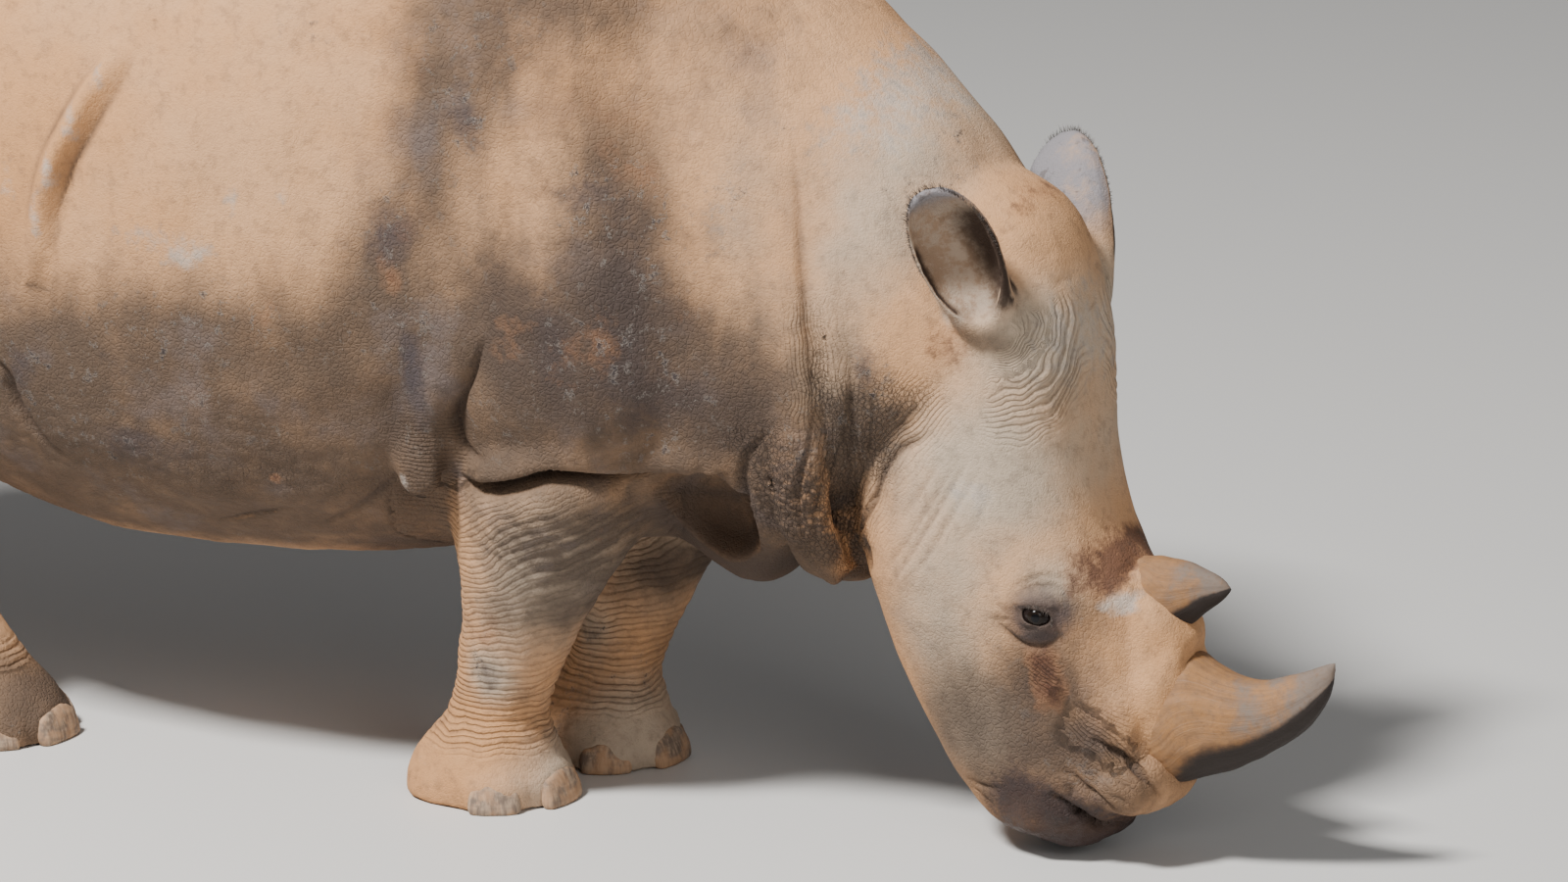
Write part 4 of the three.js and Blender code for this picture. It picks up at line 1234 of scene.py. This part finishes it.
def make_horn_material():
    paint = Paint("horn_fibre", Specular_IOR_Level=0.3)
    grain = paint.field("grain", "Vector")
    share, outer = paint.field("share"), paint.field("outer")
    fibres = paint.noise(0.09, 5, 0.6, place=paint.stretched(grain, (1, 1, 0.3)))
    strands = paint.noise(0.024, 4, 0.65, place=paint.stretched(grain, (1, 1, 0.22)))
    blotch = paint.noise(0.045, 6, 0.62)
    pits = paint.noise(0.008, 4, 0.7)
    layers = (
        (0.6 * paint.step(blotch + 0.35 * (fibres - 0.5), 0.38, 0.76), HORN_BROWN),
        (0.40 * paint.step(fibres, 0.5, 0.72), HORN_BROWN),
        (0.16 * paint.step(strands, 0.55, 0.75), PALE),
        (0.75 * paint.step(blotch - 1.6 * share, 0.20, 0.52), HORN_BASE),
        (0.8 * paint.step(blotch + 0.75 * share, 0.86, 1.15), HORN_GREY),
        (0.5 * paint.step(pits, 0.5, 0.68), HORN_BROWN),
        (paint.step(0.75 * outer + 0.55 * share + 0.4 * blotch, 0.70, 1.04), HORN_BLACK),
    )
    colour = paint.mix(paint.step(paint.noise(0.02, 4, 0.6), 0.4, 0.6), HORN_TAN, HORN_OCHRE)
    for part, tone in layers:
        colour = paint.mix(part, colour, tone)
    height = 0.4 * fibres + 0.35 * strands + 0.5 * blotch + 0.5 * pits
    return paint.finish(colour, 0.55 + 0.3 * fibres, height, 0.0018)


horn_material = make_horn_material()
make_horn("horn_front")
make_horn("horn_rear")


# ---- Nails ------------------------------------------------------------------------------------------
NAIL_DARK = (0.14, 0.100, 0.075, 1)
NAIL_LIGHT = (0.33, 0.235, 0.160, 1)
NAIL_VOXEL = 0.003
NAIL_PLUMP = 0.0025  # what the smoothing takes off a nail, given back along its normals


def make_nail_material():
    paint = Paint("nail", Specular_IOR_Level=0.3)
    ridges = paint.noise(0.010, 3, 0.6, place=paint.stretched(paint.place, (1.5, 1.5, 0.15)))
    bands = paint.noise(0.012, 3, 0.6, place=paint.stretched(paint.place, (0.2, 0.2, 1.4)))
    dust = paint.noise(0.04, 5, 0.6)
    colour = paint.mix(paint.step(ridges, 0.35, 0.65), NAIL_DARK, NAIL_LIGHT)
    colour = paint.mix(0.5 * paint.step(bands, 0.45, 0.6), colour, NAIL_DARK)
    colour = paint.mix(0.5 * paint.step(dust, 0.40, 0.60), colour, SANDY)
    return paint.finish(colour, 0.55 + 0.3 * dust, 0.7 * ridges + 0.4 * bands + 0.4 * dust, 0.0012)


def make_nails(leg):
    """The three nails of a foot, each ridged from its root to its worn edge."""
    toes = [name for name in nodes if name.startswith(leg.name + "_nail")]
    nails = merged_copy(toes, leg.name + "_nails")
    remesh(nails, NAIL_VOXEL)
    soften(nails, 60, np.ones(len(nails.data.vertices)))
    points = points_of(nails)
    ridges = noise(points * (1, 1, 0.12), 0.008, 11)
    growth = noise(points * (0.2, 0.2, 1), 0.012, 12)
    moved = points + normals_of(nails) * (NAIL_PLUMP + 0.0005 * ridges + 0.0005 * growth)[:, None]
    moved[:, 2] = np.maximum(moved[:, 2], 0.0005)
    move_to(nails, moved)
    finish(nails, nail_material, toes)


nail_material = make_nail_material()
for nailed in legs:
    make_nails(nailed)


# ---- Hair: the fringe of the ears, the lashes and the tuft of the tail --------------------------------
HAIR_RINGS = (0.0, 0.35, 0.7)
HAIR_SIDES = 3
FINE_HAIR = 0.00045
PATCH = 0.003  # the width of each hair's patch of the UV map


def lay_hair(name, roots, tips, bends, thickness, places, replaced=()):
    """Tapered hairs from roots to tips, bowed by their bends. Each has a small patch of the UV map."""
    count = len(roots)
    ways = tips - roots
    lengths = np.linalg.norm(ways, axis=1, keepdims=True)
    helper = np.where(np.abs(ways[:, 2:3]) < 0.8 * lengths, (0, 0, 1), (1, 0, 0))
    first = unit(np.cross(ways, helper))
    second = np.cross(ways / lengths, first)
    spots = []
    for share in HAIR_RINGS:
        middle = roots + ways * share + bends * (4 * share * (1 - share))
        size = (thickness * (1 - 0.75 * share))[:, None]
        for turn in np.arange(HAIR_SIDES) * math.tau / HAIR_SIDES:
            spots.append(middle + size * (math.cos(turn) * first + math.sin(turn) * second))
    spots.append(tips)
    points = np.stack(spots, axis=1).reshape(-1, 3)
    each = len(spots)
    pattern = []
    for ring in range(len(HAIR_RINGS) - 1):
        for i in range(HAIR_SIDES):
            a, b = ring * HAIR_SIDES + i, ring * HAIR_SIDES + (i + 1) % HAIR_SIDES
            pattern += [(a, b, b + HAIR_SIDES), (a, b + HAIR_SIDES, a + HAIR_SIDES)]
    last = (len(HAIR_RINGS) - 1) * HAIR_SIDES
    pattern += [(last + i, last + (i + 1) % HAIR_SIDES, each - 1) for i in range(HAIR_SIDES)]
    pattern += [tuple(reversed(range(HAIR_SIDES)))]
    pattern = np.array(pattern)
    faces = (pattern[None] + each * np.arange(count)[:, None, None]).reshape(-1, 3)
    mesh = bpy.data.meshes.new(name)
    mesh.from_pydata(points.tolist(), [], faces.tolist())
    unwrap = mesh.uv_layers.new(name="OFBake")
    corner = np.tile(((0, 0), (PATCH, 0), (0, PATCH)), (len(faces), 1))
    places = np.repeat(np.clip(places, 0, 1 - PATCH), 3 * len(pattern), axis=0)
    unwrap.data.foreach_set("uv", (places + corner).astype(np.float32).ravel())
    hair = bpy.data.objects.new(name, mesh)
    scene.collection.objects.link(hair)
    finish(hair, hair_material, list(replaced))


HAIR_DARK = (0.035, 0.028, 0.025, 1)
HAIR_LIGHT = (0.13, 0.105, 0.09, 1)


def make_hair_material():
    paint = Paint("hair", Specular_IOR_Level=0.35)
    tone = paint.noise(0.02, 3, 0.6)
    colour = paint.mix(paint.step(tone, 0.35, 0.65), HAIR_DARK, HAIR_LIGHT)
    return paint.finish(colour, 0.55 + 0.2 * tone)


hair_material = make_hair_material()
draw = np.random.default_rng(7)
skin_tree = tree_of(skin)


def on_skin(spots):
    return np.array([skin_tree.find_nearest(Vector(spot))[0] for spot in spots])


def picked(line, pick):
    """Places along a line, each given by how many of its corners come before."""
    return np.stack([np.interp(pick, np.arange(len(line)), column) for column in line.T], axis=1)


EAR_RIM = (
    (0.06, 0.050), (0.10, 0.062), (0.14, 0.070), (0.18, 0.066),
    (0.215, 0.050), (0.24, 0.028), (0.252, 0.0),
)
FRINGE = 420


def fringe_ear(name, side):
    """A fringe round the rim of an ear, longest at its tip."""
    spread = EAR_TURNS[side].spread
    half = [(x, y * spread) for x, y in EAR_RIM]
    rim = curve_through([*half, *((x, -y) for x, y in reversed(half[:-1]))], 12)
    spot = picked(rim, draw.uniform(0, 1, FRINGE) * (len(rim) - 1))
    out = unit(spot - (0.12, 0))
    lift = 0.004 + 0.020 * ramp(spot[:, 0], 0.08, 0.25)
    roots = np.column_stack([spot + draw.normal(0, 0.0015, spot.shape), lift])
    roots = on_skin(from_ear(roots, side))
    length = draw.uniform(0.6, 1.2, FRINGE) * (0.004 + 0.008 * ramp(spot[:, 0], 0.12, 0.25))
    way = unit(np.column_stack([out + draw.normal(0, 0.25, out.shape), draw.normal(0.2, 0.3, FRINGE)]))
    way = way @ ear_frame(side)[1] @ TURN_TO_HEAD.T
    bends = draw.normal(0, 0.0006, way.shape)
    tips = roots + way * length[:, None]
    lay_hair(name, roots, tips, bends, np.full(FRINGE, FINE_HAIR), spot * (3.5, 2) + (0, 0.5))


for ear_side, sign in SIDES.items():
    fringe_ear("ear_fringe_" + ear_side, sign)

LASHES = 46
LASH_LINE = ((0.628, 0.160, -0.062), (0.636, 0.168, -0.030), (0.655, 0.168, -0.012), (0.672, 0.158, -0.014))


def lash_eye(name, side):
    """Lashes that hang outwards from the upper lid."""
    line = curve_through([(x, side * y, z) for x, y, z in LASH_LINE], 8)
    pick = np.sort(draw.uniform(0, len(line) - 1, LASHES))
    roots = on_skin(from_head(picked(line, pick)))
    way = np.array((0.45, side * 0.75, 0.2)) + draw.normal(0, 0.14, (LASHES, 3))
    way = unit(way) @ TURN_TO_HEAD.T
    tips = roots + way * draw.uniform(0.008, 0.013, (LASHES, 1))
    bends = np.tile((0, 0, 0.0015), (LASHES, 1))
    places = np.column_stack([pick / len(line), np.full(LASHES, 0.5)])
    lay_hair(name, roots, tips, bends, np.full(LASHES, FINE_HAIR), places)


for eye_side, sign in SIDES.items():
    lash_eye("lashes_" + eye_side, sign)

TAIL_HAIRS = 1500
TAIL_HAIR = 0.0008
TAIL_CORE = 0.011
TAIL_END = 0.035  # how far the tuft's hairs part from the tail's middle line
TUFT_SLACK = 0.004  # how far they may stand out of the tuft's box


def hang_tuft():
    """The stiff tuft of the tail: hairs from round the end of the tail that hang and part a little."""
    low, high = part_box("tail_tuft")
    middle = (np.array(low) + np.array(high)) / 2
    turn = draw.uniform(0, math.tau, TAIL_HAIRS)
    drop = draw.uniform(0, 1, TAIL_HAIRS) ** 1.3
    out = np.column_stack([np.cos(turn), np.sin(turn), np.zeros(TAIL_HAIRS)])
    core = TAIL_CORE * (1 - 0.5 * drop)
    top = high[2] + 0.020 - drop * 0.12
    roots = np.array((middle[0], middle[1], 0)) + out * core[:, None]
    roots[:, 2] = top
    length = draw.uniform(0.55, 1.0, TAIL_HAIRS) * (top - low[2])
    tips = roots + out * (TAIL_END * draw.uniform(0.1, 0.9, TAIL_HAIRS))[:, None]
    tips[:, 2] = top - length
    tips[:, :2] += draw.normal(0, 0.004, (TAIL_HAIRS, 2))
    tips = np.clip(tips, np.array(low) - TUFT_SLACK, np.array(high) + TUFT_SLACK)
    bends = out * draw.uniform(0.001, 0.006, TAIL_HAIRS)[:, None]
    places = np.column_stack([turn / math.tau, 1 - drop])
    lay_hair("tail_tuft_hair", roots, tips, bends, np.full(TAIL_HAIRS, TAIL_HAIR), places, ["tail_tuft"])


hang_tuft()


# ---- Floor and light --------------------------------------------------------------------------------
Lamp = namedtuple("Lamp", "at size power")
KEY = Lamp((-1.7, -6.2, 9.5), 1.8, 2800)
FILL = Lamp((7.0, -5.0, 4.0), 4.0, 190)
LIT = (0.3, 0, 0.8)  # where both lamps point
SKY = (0.93, 0.96, 1, 1)
SKY_STRENGTH = 0.19
FLOOR_SIZE = 80
FLOOR_TONE = (0.62, 0.60, 0.57, 1)


def make_light(lamp):
    bpy.ops.object.light_add(type="AREA", location=lamp.at)
    light = bpy.context.object
    light.data.size = lamp.size
    light.data.energy = lamp.power
    aim = Vector(LIT) - Vector(lamp.at)
    light.rotation_euler = aim.to_track_quat("-Z", "Y").to_euler()


def make_stage():
    bpy.ops.object.select_all(action="DESELECT")
    bpy.ops.mesh.primitive_plane_add(size=FLOOR_SIZE, location=(0, 0, 0))
    floor = bpy.context.object
    floor.name = "floor"
    pale = bpy.data.materials.new("pale_floor")
    pale.use_nodes = True
    pale.node_tree.nodes["Principled BSDF"].inputs["Base Color"].default_value = FLOOR_TONE
    floor.data.materials.append(pale)
    world = bpy.data.worlds.new("studio")
    scene.world = world
    world.use_nodes = True
    world.node_tree.nodes["Background"].inputs["Color"].default_value = SKY
    world.node_tree.nodes["Background"].inputs["Strength"].default_value = SKY_STRENGTH
    make_light(KEY)
    make_light(FILL)


make_stage()
